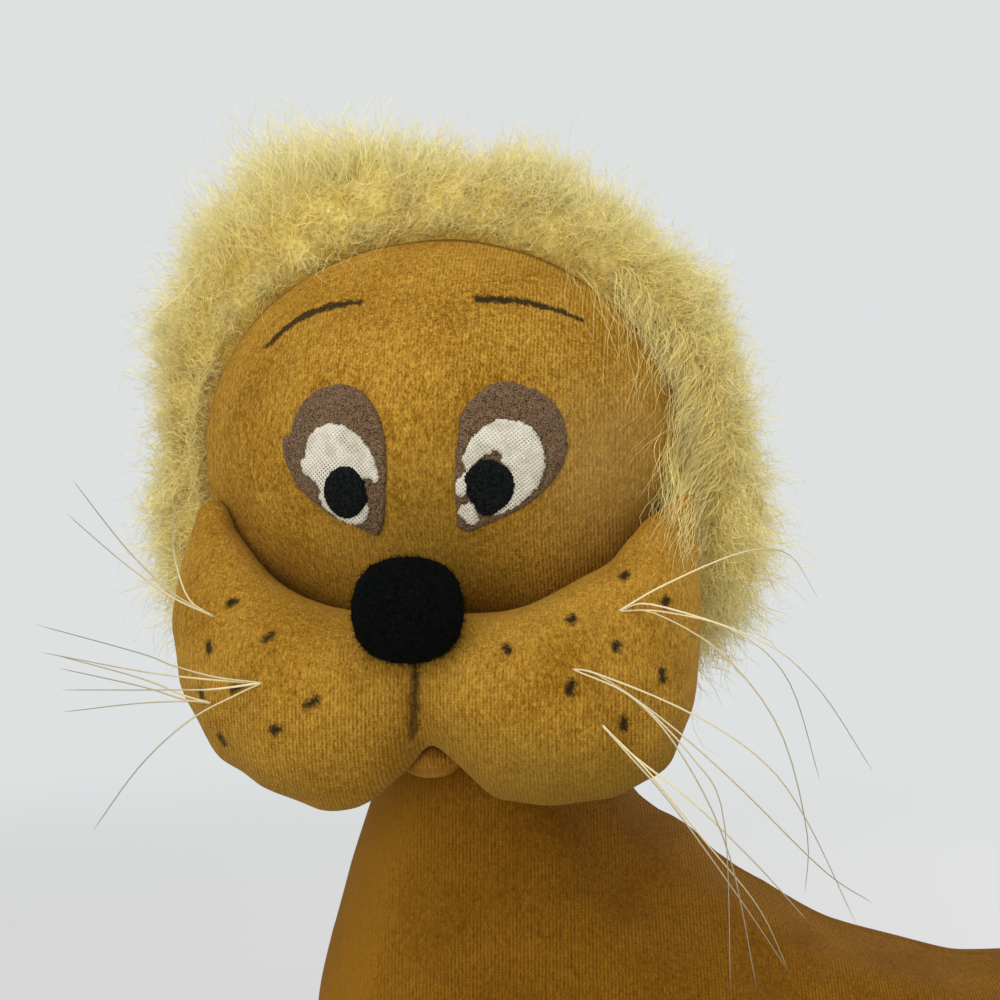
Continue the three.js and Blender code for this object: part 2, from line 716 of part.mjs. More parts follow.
const tailTool = tailForm();
for (const [label, side] of [
  ["left", -1],
  ["right", 1],
]) {
  const inTheWay = [trunkTool, thighForm(side, seatGap), forelegForm(side, seatGap)];
  sewn(lion, `front_leg_${label}`, cutBy(pressedFlat(forelegForm(side, 0)), trunkTool), velour);
  sewn(lion, `thigh_${label}`, cutBy(pressedFlat(thighForm(side, 0)), trunkTool), velour);
  sewn(lion, `hind_foot_${label}`, cutBy(pressedFlat(footForm(side)), ...inTheWay), velour);
}
sewn(lion, "tail", cutBy(pressedFlat(tailTool), trunkTool), velour);
sewn(lion, "tail_tuft", cutBy(pressedFlat(tuftForm()), tailTool), pile);

sewn(head, "head_stuffing", cutBy(headPadding, trunkToolInHead), stuffing);
sewn(head, "face_panel", cutBy(facePanel, trunkToolInHead), velour);
sewn(head, "mane", cutBy(mane, maneOpening), pile);
sewn(head, "muzzle", muzzle, velour);
sewn(head, "chin", chin, velour);
sewn(head, "nose", nose, blackFelt);
for (const [label, side] of [
  ["left", 1],
  ["right", -1],
]) {
  const { patch, white, pupil } = eyeLayers(side);
  sewn(head, `eye_patch_${label}`, patch, brownFelt);
  sewn(head, `eye_white_${label}`, white, whiteCloth);
  sewn(head, `eye_pupil_${label}`, pupil, blackFelt);
}
for (const [name, strands] of Object.entries(whiskerBundles)) {
  sewn(head, name, bundle(strands), bristle);
}
lion.add(head);

export default lion;
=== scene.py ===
import math

import bpy
import numpy as np
from mathutils import Matrix, Vector
from mathutils.bvhtree import BVHTree


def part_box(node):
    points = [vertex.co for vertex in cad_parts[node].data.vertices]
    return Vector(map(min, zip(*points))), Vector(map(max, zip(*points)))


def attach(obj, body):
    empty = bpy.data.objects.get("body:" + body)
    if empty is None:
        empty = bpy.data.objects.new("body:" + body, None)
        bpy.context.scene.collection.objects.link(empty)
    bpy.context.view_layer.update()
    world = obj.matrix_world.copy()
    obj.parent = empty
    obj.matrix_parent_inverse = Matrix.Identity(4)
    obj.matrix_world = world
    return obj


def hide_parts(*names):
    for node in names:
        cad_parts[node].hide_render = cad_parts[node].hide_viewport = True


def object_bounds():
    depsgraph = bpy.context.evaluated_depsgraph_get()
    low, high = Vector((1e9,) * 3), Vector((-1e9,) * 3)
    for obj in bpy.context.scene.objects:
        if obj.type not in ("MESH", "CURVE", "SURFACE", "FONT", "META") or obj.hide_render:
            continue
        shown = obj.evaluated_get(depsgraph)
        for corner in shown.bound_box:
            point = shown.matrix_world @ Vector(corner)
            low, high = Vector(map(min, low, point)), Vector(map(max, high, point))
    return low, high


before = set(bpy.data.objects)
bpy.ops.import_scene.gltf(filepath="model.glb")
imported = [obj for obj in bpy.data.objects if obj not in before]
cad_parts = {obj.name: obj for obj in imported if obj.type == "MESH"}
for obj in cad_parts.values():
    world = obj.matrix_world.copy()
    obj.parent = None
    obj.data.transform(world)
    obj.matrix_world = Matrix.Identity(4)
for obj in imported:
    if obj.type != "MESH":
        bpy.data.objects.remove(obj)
cad_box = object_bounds()


# Trunk and neck
# One stuffed velour skin, cut as two side panels and pulled tight over its fibre filling.
# The wales of the cloth run up the neck and over the back, and a seam closes it along the spine.

trunk_voxel = 0.0055
trunk_swell = 0.0021  # from the filling's surface out to the face of the cloth
wale_pitch = 0.0009
course_pitch = 0.00072


def paint(red, green, blue):
    """A colour by its 0 to 255 screen values, as the linear colour that a shader takes."""

    def linear(value):
        share = value / 255
        return share / 12.92 if share <= 0.04045 else ((share + 0.055) / 1.055) ** 2.4

    return (linear(red), linear(green), linear(blue), 1)


class Shade:
    """One socket of a shader, with the arithmetic that a cloth pattern is written in."""

    def __init__(self, tree, socket=None):
        self.tree = tree
        self.socket = socket

    def node(self, kind, settings=None, sockets=None, out=0):
        made = self.tree.nodes.new(kind)
        for name, value in (settings or {}).items():
            setattr(made, name, value)
        for name, value in (sockets or {}).items():
            if isinstance(value, Shade):
                self.tree.links.new(value.socket, made.inputs[name])
            else:
                made.inputs[name].default_value = value
        return Shade(self.tree, made.outputs[out])

    def into(self, shader, name):
        self.tree.links.new(self.socket, shader.inputs[name])

    def maths(self, operation, *others):
        return self.node("ShaderNodeMath", {"operation": operation}, dict(enumerate([self, *others])))

    def vector(self, operation, other, out=0):
        return self.node("ShaderNodeVectorMath", {"operation": operation}, {0: self, 1: other}, out)

    def __add__(self, other):
        return self.maths("ADD", other)

    def __sub__(self, other):
        return self.maths("SUBTRACT", other)

    def __rsub__(self, other):
        return self.node("ShaderNodeMath", {"operation": "SUBTRACT"}, {0: other, 1: self})

    def __mul__(self, other):
        return self.maths("MULTIPLY", other)

    def between(self, low, high):
        """0 up to low, 1 from high on, and smooth between."""
        smooth = {"interpolation_type": "SMOOTHSTEP"}
        return self.node("ShaderNodeMapRange", smooth, {0: self, 1: low, 2: high})

    def tint(self, low, high):
        """The colour that goes from low to high as this value goes from 0 to 1."""
        return self.node("ShaderNodeMix", {"data_type": "RGBA"}, {0: self, 6: low, 7: high}, out=2)

    def along(self, way):
        """A direction or a colour, times this value."""
        return self.node("ShaderNodeVectorMath", {"operation": "SCALE"}, {0: way, "Scale": self})

    def dimmed(self, amount):
        """This colour, lighter or darker by a factor."""
        return amount.along(self)

    def noise(self, size, detail=2.0):
        """Soft noise over this place, with lumps of a size in metres, from 0 to 1 about 0.5."""
        return self.node("ShaderNodeTexNoise", {}, {"Vector": self, "Scale": 1 / size, "Detail": detail})

    def towards(self, way):
        """How far this place or direction lies along a way."""
        return self.vector("DOT_PRODUCT", way, "Value")

    def distance(self, place):
        """How far this place lies from another."""
        return self.vector("DISTANCE", tuple(place), "Value")

    def squeezed(self, way, keep):
        """This place with its extent along a way scaled, so that noise is drawn out along it."""
        return self.vector("ADD", (self.towards(way) * (keep - 1)).along(way))

    def bumps(self, shader, strength, distance):
        """Raises the face of a cloth by this height."""
        sockets = {"Strength": strength, "Distance": distance, "Height": self}
        self.node("ShaderNodeBump", {}, sockets, "Normal").into(shader, "Normal")


def new_finish(name, fixed):
    """A material, its shader and the place on the piece, with the values that are the same all over."""
    material = bpy.data.materials.new(name)
    material.use_nodes = True
    shader = material.node_tree.nodes["Principled BSDF"]
    for socket, value in fixed.items():
        shader.inputs[socket].default_value = value
    return material, shader, Shade(material.node_tree).node("ShaderNodeTexCoord", out="Object")


gold_deep = paint(127, 84, 4)
gold_pale = paint(190, 144, 54)
shaded_deep = paint(90, 53, 0)  # painted shade: the body's cloth is darker and more saturated than the head's, as the head's shadow falls on it
shaded_pale = paint(144, 97, 18)
# olive grime from handling, which also stands for painted shade round the nose and under the muzzle's lobes
olive_grime_and_shade = paint(118, 92, 26)
worn_khaki = paint(158, 126, 64)
painted_light_way = (-1, 0.1, 0.1)  # cloth that faces this way is painted lighter, as if more light fell on that side
velour_sheen = {
    "Roughness": 0.92,
    "Sheen Roughness": 0.5,
    "Sheen Tint": paint(240, 194, 96),
    "Specular IOR Level": 0.1,
}


def ridges(place, way, pitch, wander):
    """The rise and fall across even rows, from 0 in a furrow to 1 on a row."""
    phase = place.towards(way) * (2 * math.pi / pitch) + wander
    return (phase.maths("SINE") + 1) * 0.5


def velour(
    name, across, crossing, lengthwise, marks=None, worn=None, nap=1.0,
    deep=gold_deep, pale=gold_pale, sheen=0.2, lit=0.0,
):
    """Knitted velour: wales side by side along across, or along crossing where the cloth faces that way,
    with the courses of the knit showing where the nap is worn, and nap in short broken dashes on top."""
    material, shader, place = new_finish(name, {**velour_sheen, "Sheen Weight": sheen})
    facing = place.node("ShaderNodeTexCoord", out="Normal")
    turned = facing.towards(across).maths("ABSOLUTE").between(0.72, 0.94)
    wander = place.noise(0.009) * 2.6
    wales = ridges(place, across, wale_pitch, wander)
    wales = wales + (ridges(place, crossing, wale_pitch, wander) - wales) * turned
    stitches = wales * (ridges(place, lengthwise, course_pitch, wander) * 0.45 + 0.55)
    bare = place.noise(0.02, 3).between(0.36, 0.66)
    if worn:
        bare = worn(place, bare)
    brushed = place.squeezed(lengthwise, 0.5)
    grain = brushed.noise(0.0004, 2)
    fleck = brushed.noise(0.001, 3)
    cloud = place.noise(0.02, 3)
    level = (
        (grain - 0.5) * (1.8 * nap)
        + (fleck - 0.5) * (1.1 * nap)
        + (cloud - 0.5) * 1.0
        + (stitches - 0.4) * (bare * 0.62 + 0.05)
        # painted light: cloth that faces the lit side is lighter, by as much as lit
        + facing.towards(painted_light_way).between(0.12, 0.95) * lit
        + 0.43
    )
    colour = level.tint(deep, pale)
    if marks:
        colour = marks(place, colour)
    colour.dimmed((grain - 0.5) * (0.6 * nap) + (fleck - 0.5) * (0.6 * nap) + 1).into(shader, "Base Color")
    (stitches * (bare * 0.7 + 0.15) + grain * 0.9 + fleck * 0.8).bumps(shader, 0.6, 0.0005)
    return material


def shown(name, mesh):
    """A new object of this mesh, lamp or camera."""
    piece = bpy.data.objects.new(name, mesh)
    bpy.context.scene.collection.objects.link(piece)
    return piece


def points_of(piece, kind="co"):
    flat = np.empty(3 * len(piece.data.vertices))
    piece.data.vertices.foreach_get(kind, flat)
    return flat.reshape(-1, 3)


def outward(piece):
    """The direction in which each point of a piece faces."""
    return points_of(piece, "normal")


def move_points(piece, points):
    piece.data.vertices.foreach_set("co", np.ascontiguousarray(points).ravel())
    piece.data.update()


def tree_of(piece):
    """A piece's skin, to find places on it."""
    return BVHTree.FromObject(piece, bpy.context.evaluated_depsgraph_get())


def applied(piece):
    """Works the modifiers of a piece into its mesh."""
    mesh = bpy.data.meshes.new_from_object(piece.evaluated_get(bpy.context.evaluated_depsgraph_get()))
    piece.modifiers.clear()
    piece.data = mesh


def evened(node, name, voxel):
    """A new piece with the form of a CAD node, in even quads that cloth can be made from."""
    piece = shown(name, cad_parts[node].data.copy())
    piece.data.materials.clear()
    remesh = piece.modifiers.new("Even", "REMESH")
    remesh.mode = "VOXEL"
    remesh.voxel_size = voxel
    applied(piece)
    return piece


def softened(piece, rounds):
    """Smooths the facets out of a form and keeps its bulk: each pass in is followed by one out."""
    for factor in [0.5, -0.52] * rounds:
        smooth = piece.modifiers.new("Soften", "SMOOTH")
        smooth.iterations = 2
        smooth.factor = factor
    applied(piece)


def divided(piece, levels):
    subdivision = piece.modifiers.new("Divide", "SUBSURF")
    subdivision.levels = levels
    applied(piece)


def filled(piece, give):
    """Blows a closed skin up as its filling does. No point sinks in, or moves further than give."""
    steps = 20
    before, facing = points_of(piece), outward(piece)
    cloth = piece.modifiers.new("Filling", "CLOTH")
    cloth.settings.quality = 4
    cloth.settings.use_pressure = True
    cloth.settings.uniform_pressure_force = 4
    cloth.settings.effector_weights.gravity = 0
    for step in range(1, steps + 1):
        bpy.context.scene.frame_set(step)
    applied(piece)
    bpy.context.scene.frame_set(1)
    move = points_of(piece) - before
    move -= np.minimum(0, (move * facing).sum(1, keepdims=True)) * facing
    length = np.linalg.norm(move, axis=1, keepdims=True)
    move_points(piece, before + move * np.minimum(1, give / np.maximum(length, 1e-9)))


def swelled(piece, distance):
    """Moves the face of a piece outwards all over, which makes up for what smoothing takes off."""
    move_points(piece, points_of(piece) + distance * outward(piece))


def rested(piece):
    """Presses what would sink into the floor flat on it."""
    points = points_of(piece)
    points[:, 2] = np.maximum(points[:, 2], 0.0001)
    move_points(piece, points)


seam_depth = 0.0013
seam_width = 0.0022
seam_shade = paint(70, 44, 8)


def seamed(piece, level):
    """Draws a piece in along the seam where its two halves meet, at a place across the toy."""
    points = points_of(piece)
    near = np.exp(-(((points[:, 1] - level) / seam_width) ** 2))
    move_points(piece, points - seam_depth * near[:, None] * outward(piece))


def seam_marks(level):
    """The shade down in a seam, and the cloth brushed back beside it."""

    def marks(place, colour):
        aside = (place.towards((0, 1, 0)) - level).maths("ABSOLUTE") + (place.noise(0.0015) - 0.5) * 0.0008
        brushed = (1 - aside.between(0.0008, 0.0035)) * 0.2
        line = (1 - aside.between(0.0001, 0.0008)) * 0.75
        return line.tint(brushed.tint(colour, shaded_pale), seam_shade)

    return marks


def sewn(piece, slot, material, *nodes):
    """The piece takes its place on the toy, and stands for the CAD nodes that it is made from."""
    piece.data.materials.clear()
    piece.data.materials.append(material)
    piece.data.shade_smooth()
    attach(piece, "root")
    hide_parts(*nodes)


head_high = 0.118
cloth_thick = 0.0016
glue_gap = 0.0003
stuffing_low, stuffing_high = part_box("head_stuffing")
head_middle = (stuffing_low + stuffing_high) / 2
head_middle.z = stuffing_high.z + cloth_thick + glue_gap - head_high / 2
viewpoint = head_middle + Vector((0.013, -0.5, -0.015))  # where the toy is seen from, level with its nose
face_distance = 0.45
pixel_wide = 0.000245  # at the depth of the face, in a picture of 1000 by 1000 pixels
picture_middle = 500
picture_reach = face_distance / pixel_wide  # how far off one pixel is one unit wide


def shaped(points, pushes):
    """Moves a skin as far as its uneven stuffing does. A push has its column and row in the picture,
    how far the skin moves across and down there, and how far that reaches, all in pixels."""
    from_eye = points - np.array(viewpoint)
    column = picture_middle + picture_reach * from_eye[:, 0] / from_eye[:, 1]
    row = picture_middle - picture_reach * from_eye[:, 2] / from_eye[:, 1]
    moved = points.copy()
    for middle_column, middle_row, across, down, reach in pushes:
        share = np.exp(-((column - middle_column) ** 2 + (row - middle_row) ** 2) / reach**2)
        moved += share[:, None] * np.array([across, 0, -down]) * pixel_wide
    return moved


shoulder_pushes = [(684, 828, 4, -9, 34)]
trunk = evened("trunk_stuffing", "trunk_velour", trunk_voxel)
filled(trunk, give=0.003)
softened(trunk, 8)
swelled(trunk, trunk_swell)
divided(trunk, 2)
move_points(trunk, shaped(points_of(trunk), shoulder_pushes))
rested(trunk)
seamed(trunk, 0)
# the body's cloth: colours darkened with painted shade, and painted light on the side that faces the light
shaded_and_lit_cloth = {"nap": 0.55, "deep": shaded_deep, "pale": shaded_pale, "sheen": 0.05, "lit": 1.0}
trunk_cloth = velour("trunk_velour", (1, 0, 0), (0, 1, 0), (0, 0, 1), seam_marks(0), **shaded_and_lit_cloth)
sewn(trunk, "velour", trunk_cloth, "trunk_cover")


# Filling
# Polyester fibre, packed into the trunk and the head through openings that are closed by hand.
# No part of it shows on the finished toy.

fibre, fibre_shader, fibre_place = new_finish("fibre_filling", {"Roughness": 1})
fibre_colour = fibre_place.noise(0.004, 4).between(0.3, 0.7).tint(paint(214, 206, 190), paint(244, 240, 230))
fibre_colour.into(fibre_shader, "Base Color")
for node in ["trunk_stuffing", "head_stuffing"]:
    pad = evened(node, node.replace("stuffing", "filling"), 0.006)
    softened(pad, 3)
    swelled(pad, -0.003)
    sewn(pad, "stuffing", fibre, node)


# Legs
# Each is a stuffed velour bag sewn to the side of the trunk, so it is round where it is free and
# drawn flat where it meets the trunk. Wales run along the front legs and up the haunches.

joint_sink = 0.0015  # how far the rim of a limb is drawn into what it is sewn to
joint_near, joint_far = 0.004, 0.009


def smooth_step(value, low, high):
    share = np.clip((value - low) / (high - low), 0, 1)
    return share * share * (3 - 2 * share)


def sewn_close(piece, tree):
    """Draws the side of a piece that faces the skin it is sewn to down into that skin."""
    moved = points_of(piece)
    for i, facing in enumerate(outward(piece)):
        spot, skin_way, _, gap = tree.find_nearest(Vector(moved[i]), joint_far)
        if spot is None:
            continue
        height = (Vector(moved[i]) - spot).dot(skin_way)
        turned = smooth_step(-np.dot(facing, skin_way), -0.4, 0.1)
        sink = max(0, height + joint_sink) * turned * (1 - smooth_step(gap, joint_near, joint_far))
        moved[i] -= sink * np.array(skin_way)
    move_points(piece, moved)


trunk_tree = tree_of(trunk)
for side in ["left", "right"]:
    for node, across, crossing, lengthwise, voxel in [
        ("front_leg", (0, 1, 0), (0, 0, 1), (1, 0, 0), 0.004),
        ("thigh", (1, 0, 0), (0, 1, 0), (0, 0, 1), 0.004),
        ("hind_foot", (0, 1, 0), (0, 0, 1), (1, 0, 0), 0.0035),
    ]:
        limb = evened(f"{node}_{side}", f"{node}_{side}_velour", voxel)
        swelled(limb, -0.0012)
        filled(limb, give=0.002)
        softened(limb, 10)
        swelled(limb, 0.0004)
        divided(limb, 1)
        sewn_close(limb, trunk_tree)
        if node == "hind_foot":
            sewn_close(limb, thigh_tree)
        if node == "thigh":
            thigh_tree = tree_of(limb)
        limb_low, limb_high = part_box(f"{node}_{side}")
        limb_middle = (limb_low.y + limb_high.y) / 2
        seamed(limb, limb_middle)
        rested(limb)
        limb_marks = seam_marks(limb_middle)
        limb_cloth = velour(f"{node}_{side}_velour", across, crossing, lengthwise, limb_marks, **shaded_and_lit_cloth)
        sewn(limb, "velour", limb_cloth, f"{node}_{side}")


# Tail
# A narrow velour tube with a little filling, sewn to the rump. It lies round the left haunch and
# ends in a tuft of the same long pile as the mane, fixed over the end of the tube.

tail = evened("tail", "tail_velour", 0.0028)
softened(tail, 6)
divided(tail, 1)
rested(tail)
tail_cloth = velour("tail_velour", (0, 1, 0), (0, 0, 1), (1, 0, 0), **shaded_and_lit_cloth)
sewn(tail, "velour", tail_cloth, "tail")

pile_thickness = 0.00026
strand_steps = 7
tone_lanes = 48
lane_width = 0.7  # how much of its lane a strand's faces take
# the root colour is darker, as painted shade down among the strands
pile_root = paint(248, 228, 134)
pile_middle = paint(255, 244, 160)
pile_warm = paint(253, 234, 136)
pile_tip = paint(240, 228, 166)


def unit(vectors):
    return vectors / np.maximum(np.linalg.norm(vectors, axis=-1, keepdims=True), 1e-12)


def square_to(middles, rng):
    """Two ways across each strand, square to its course and to each other."""
    ways = unit(middles[:, -1] - middles[:, 0])
    sides = unit(np.cross(ways, rng.normal(size=ways.shape)))
    return sides, np.cross(ways, sides)


def strand_piece(name, middles, sides, others, radius, lanes):
    """Strands as closed three-sided tubes that thin to a point. middles has a row of places for each
    strand. Across the map OFBake a strand keeps to its tone's lane, and up it runs from root to tip."""
    count, places = middles.shape[:2]
    rings = places - 1
    corner = np.arange(3) * 2 * math.pi / 3
    around = np.cos(corner)[:, None] * sides[:, None, None] + np.sin(corner)[:, None] * others[:, None, None]
    ring_points = middles[:, :rings, None] + radius[:, :rings, None, None] * around
    points = np.concatenate([ring_points.reshape(count, -1, 3), middles[:, rings:]], axis=1)
    faces = []
    maps = []
    for ring in range(rings - 1):
        for k in range(3):
            k_next = (k + 1) % 3
            low, high = 3 * ring, 3 * ring + 3
            faces.append([low + k, low + k_next, high + k_next, high + k])
            left, right = k / 3, (k + 1) / 3
            bottom, top = ring / rings, (ring + 1) / rings
            maps.append([(left, bottom), (right, bottom), (right, top), (left, top)])
    last = 3 * (rings - 1)
    for k in range(3):
        faces.append([last + k, last + (k + 1) % 3, 3 * rings])
        maps.append([(k / 3, 1 - 1 / rings), ((k + 1) / 3, 1 - 1 / rings), ((k + 0.5) / 3, 1)])
    faces.append([0, 2, 1])
    maps.append([(0, 0), (1, 0), (0.5, 0.01)])
    pattern = np.concatenate([np.array(face) for face in faces])
    starts = np.cumsum([0] + [len(face) for face in faces[:-1]])
    loops = (pattern[None, :] + np.arange(count)[:, None] * points.shape[1]).ravel()
    loop_starts = (starts[None, :] + np.arange(count)[:, None] * len(pattern)).ravel()
    mesh = bpy.data.meshes.new(name)
    mesh.vertices.add(count * points.shape[1])
    mesh.vertices.foreach_set("co", points.ravel())
    mesh.loops.add(len(loops))
    mesh.loops.foreach_set("vertex_index", loops.astype(np.int32))
    mesh.polygons.add(len(loop_starts))
    mesh.polygons.foreach_set("loop_start", loop_starts.astype(np.int32))
    spots = np.concatenate([np.array(each, float) for each in maps])
    flat = np.empty((count, len(pattern), 2))
    flat[:, :, 0] = (lanes[:, None] + 0.5 + lane_width * (spots[None, :, 0] - 0.5)) / tone_lanes
    flat[:, :, 1] = spots[None, :, 1]
    mesh.uv_layers.new(name="OFBake").data.foreach_set("uv", flat.ravel())
    mesh.update(calc_edges=True)
    mesh.validate()
    return shown(name, mesh)


def drawn_together(middles, tuft, tuft_share, rng):
    """Pulls the outer ends of strands towards their neighbours, so that they stand in tufts."""
    count, places = middles.shape[:2]
    leaders = rng.choice(count, max(1, int(count * tuft_share)), replace=False)
    nearest = np.empty(count, int)
    for start in range(0, count, 2000):
        gap = middles[start : start + 2000, None, 0] - middles[None, leaders, 0]
        nearest[start : start + 2000] = leaders[np.argmin((gap**2).sum(2), axis=1)]
    along = np.linspace(0, 1, places)[None, :, None]
    pull = tuft * rng.uniform(0.2, 1, (count, 1, 1)) * along**1.4
    return middles + (middles[nearest] - middles) * pull


def curled(middles, curl, rng):
    """Lets each strand wave about its course, more towards its tip."""
    count, places = middles.shape[:2]
    along = np.linspace(0, 1, places)[None, :, None]
    sides, others = square_to(middles, rng)
    turns = rng.uniform(0.7, 2.2, (count, 1, 1))
    turn = 2 * math.pi * (rng.uniform(0, 1, (count, 1, 1)) + turns * along)
    waves = np.cos(turn) * sides[:, None] + np.sin(turn) * others[:, None]
    return middles + curl * rng.uniform(0.4, 1.5, (count, 1, 1)) * along * waves


def pile_piece(name, middles, rng, cloth, node, thickness=pile_thickness, slot="pile"):
    """Pile as strands along rows of places, thin at their tips."""
    count, places = middles.shape[:2]
    sides, others = square_to(middles, rng)
    along = np.linspace(0, 1, places)[None]
    radius = thickness / 2 * (1 - 0.65 * along) * rng.uniform(0.7, 1.15, (count, 1))
    lanes = rng.integers(0, tone_lanes, count)
    piece = strand_piece(name, middles, sides, others, radius, lanes)
    sewn(piece, slot, cloth, node)
    return piece


def pile_strands(roots, ways, lengths, rng, tuft_share, curl=0.0011, tuft=0.5, bow=0.16):
    """Rows of places for long pile, from its roots, the ways in which it grows, and its lengths."""
    along = np.linspace(0, 1, strand_steps + 1)[None, :, None]
    bend = rng.normal(size=(len(roots), 1, 3)) * bow * lengths[:, None, None] * along**2
    middles = roots[:, None] + ways[:, None] * lengths[:, None, None] * along + bend
    return curled(drawn_together(middles, tuft, tuft_share, rng), curl, rng)


def strand_map(place):
    """Which lane of the map OFBake a strand is in, and how far up the strand a place lies."""
    spot = place.node("ShaderNodeUVMap", {"uv_map": "OFBake"})
    across, up = (place.node("ShaderNodeSeparateXYZ", {}, {0: spot}, axis) for axis in "XY")
    return (across * tone_lanes).maths("FLOOR"), up


def chance(value):
    """A random value from 0 to 1 that goes with each value."""
    return value.node("ShaderNodeTexWhiteNoise", {"noise_dimensions": "1D"}, {"W": value}, "Value")


def pile_finish(name, root=pile_root, middle=pile_middle, tip=pile_tip):
    """Pile fibre, warmer at the root and darker there with painted shade, with each lane of the map a tone of
    its own.
    """
    fixed = {
        "Roughness": 0.6,
        "Sheen Weight": 0.8,
        "Sheen Tint": paint(252, 240, 190),
        "Sheen Roughness": 0.4,
        "Specular IOR Level": 0.3,
    }
    material, shader, place = new_finish(name, fixed)
    lane, up = strand_map(place)
    body = (chance(lane + 0.5) * 0.5).tint(middle, pile_warm)
    grown = up.between(0.0, 0.4).tint(root, body)
    tipped = up.between(0.4, 1.0).tint(grown, tip)
    tipped.dimmed(chance(lane) * 0.42 + 0.86).into(shader, "Base Color")
    return material


def ground_finish(name, marks=None):
    """The knitted ground that pile grows from, under its shortest fuzz."""
    fixed = {"Roughness": 0.9, "Sheen Weight": 0.3, "Specular IOR Level": 0.2}
    material, shader, place = new_finish(name, fixed)
    fuzz = place.noise(0.0011, 4)
    colour = place.noise(0.008, 3).between(0.3, 0.7).tint(paint(206, 178, 80), paint(230, 210, 114))
    if marks:
        colour = marks(place, colour)
    colour.dimmed((fuzz - 0.5) * 1.5 + 0.97).into(shader, "Base Color")
    fuzz.bumps(shader, 0.9, 0.0015)
    return material


tuft_core = evened("tail_tuft", "tail_tuft_ground", 0.003)
softened(tuft_core, 6)
swelled(tuft_core, -0.0035)
divided(tuft_core, 1)
rested(tuft_core)
sewn(tuft_core, "pile", ground_finish("tuft_ground"), "tail_tuft")
tuft_count = 2600
tuft_length = 0.014
tuft_rng = np.random.default_rng(41)
tuft_points = points_of(tuft_core)
tuft_facing = outward(tuft_core)
tuft_pick = tuft_rng.integers(0, len(tuft_points), tuft_count)
tuft_roots = tuft_points[tuft_pick] - 0.001 * tuft_facing[tuft_pick]
tuft_spread = 0.25 * tuft_rng.normal(size=(tuft_count, 3))
tuft_ways = unit(tuft_facing[tuft_pick] * 0.4 + np.array([-1.0, 0, 0]) + tuft_spread)
tuft_reach = tuft_length * tuft_rng.uniform(0.7, 1.1, tuft_count)
tuft_floor = tuft_roots[:, 2] + tuft_ways[:, 2] * tuft_reach < 0.002
tuft_ways[tuft_floor, 2] = 0.05
tuft_ways = unit(tuft_ways)
tuft_middles = pile_strands(tuft_roots, tuft_ways, tuft_reach, tuft_rng, tuft_share=0.02)
rested(pile_piece("tail_tuft_pile", tuft_middles, tuft_rng, pile_finish("tuft_pile"), "tail_tuft"))


# Head
# A round stuffed ball on the neck, turned to look over the left flank. A velour panel covers the face,
# and its edge is rolled under all round where it is sewn to the mane.

head_wide, head_deep = 0.134, 0.118
head_turn = math.radians(6)
head_place = Matrix.Translation(head_middle) @ Matrix.Rotation(-head_turn, 4, "Z")
head_turned = np.array(head_place.to_3x3())
head_across = tuple(head_turned[:, 0])
head_along = tuple(head_turned[:, 1])


def on_toy(points):
    """Places given from the head's middle, x to the lion's left and -y ahead, as places on the toy."""
    return np.asarray(points) @ head_turned.T + np.array(head_middle)


def in_head(points):
    """Places on the toy, as places from the head's middle."""
    return (np.asarray(points) - np.array(head_middle)) @ head_turned


def sight(column, row):
    """The way from the viewpoint through a pixel of the picture, one unit deep."""
    return Vector(((column - picture_middle) / picture_reach, 1, (picture_middle - row) / picture_reach))


def seen(tree, column, row):
    """The place on a skin that shows at a pixel of the picture."""
    return tree.ray_cast(viewpoint, sight(column, row).normalized())[0]


def head_way(ahead, around):
    """A direction by its angle from straight ahead and its angle round the face."""
    return np.stack(
        [np.sin(ahead) * np.cos(around), -np.cos(ahead), np.sin(ahead) * np.sin(around)], axis=-1
    )


def ball_radius(ways):
    return 1 / np.linalg.norm(ways / np.array([head_wide / 2, head_deep / 2, head_high / 2]), axis=-1)


def seam_angle(around):
    """Where the velour face meets the mane, as an angle from straight ahead."""
    under = np.radians(52) * smooth_step(-np.sin(around), 0.62, 1)
    return np.radians(74) - np.radians(10) * np.maximum(0, np.sin(around)) + under


def lumps(points, size, seed):
    """Soft unevenness from -1 to 1, made of a few waves that cross each other."""
    rng = np.random.default_rng(seed)
    total = np.zeros(points.shape[:-1])
    for _ in range(7):
        way = unit(rng.normal(size=3)) * rng.uniform(0.6, 1.5) * 2 * math.pi / size
        total += np.sin(points @ way + rng.uniform(0, 2 * math.pi))
    return total / 4


def new_skin(name, points, faces):
    mesh = bpy.data.meshes.new(name)
    mesh.from_pydata([tuple(point) for point in points], [], faces)
    mesh.update()
    return shown(name, mesh)


def bowl(name, rows):
    """A closed skin from rows of places round the head, the first and last drawn to a point."""
    sides = rows.shape[1]
    points = [rows[0].mean(0), *rows.reshape(-1, 3), rows[-1].mean(0)]
    faces = []
    for k in range(sides):
        k_next = (k + 1) % sides
        faces.append([0, 1 + k_next, 1 + k])
        for row in range(len(rows) - 1):
            low = 1 + row * sides
            faces.append([low + k, low + k_next, low + sides + k_next, low + sides + k])
        low = 1 + (len(rows) - 1) * sides
        faces.append([len(points) - 1, low + k, low + k_next])
    return new_skin(name, points, faces)


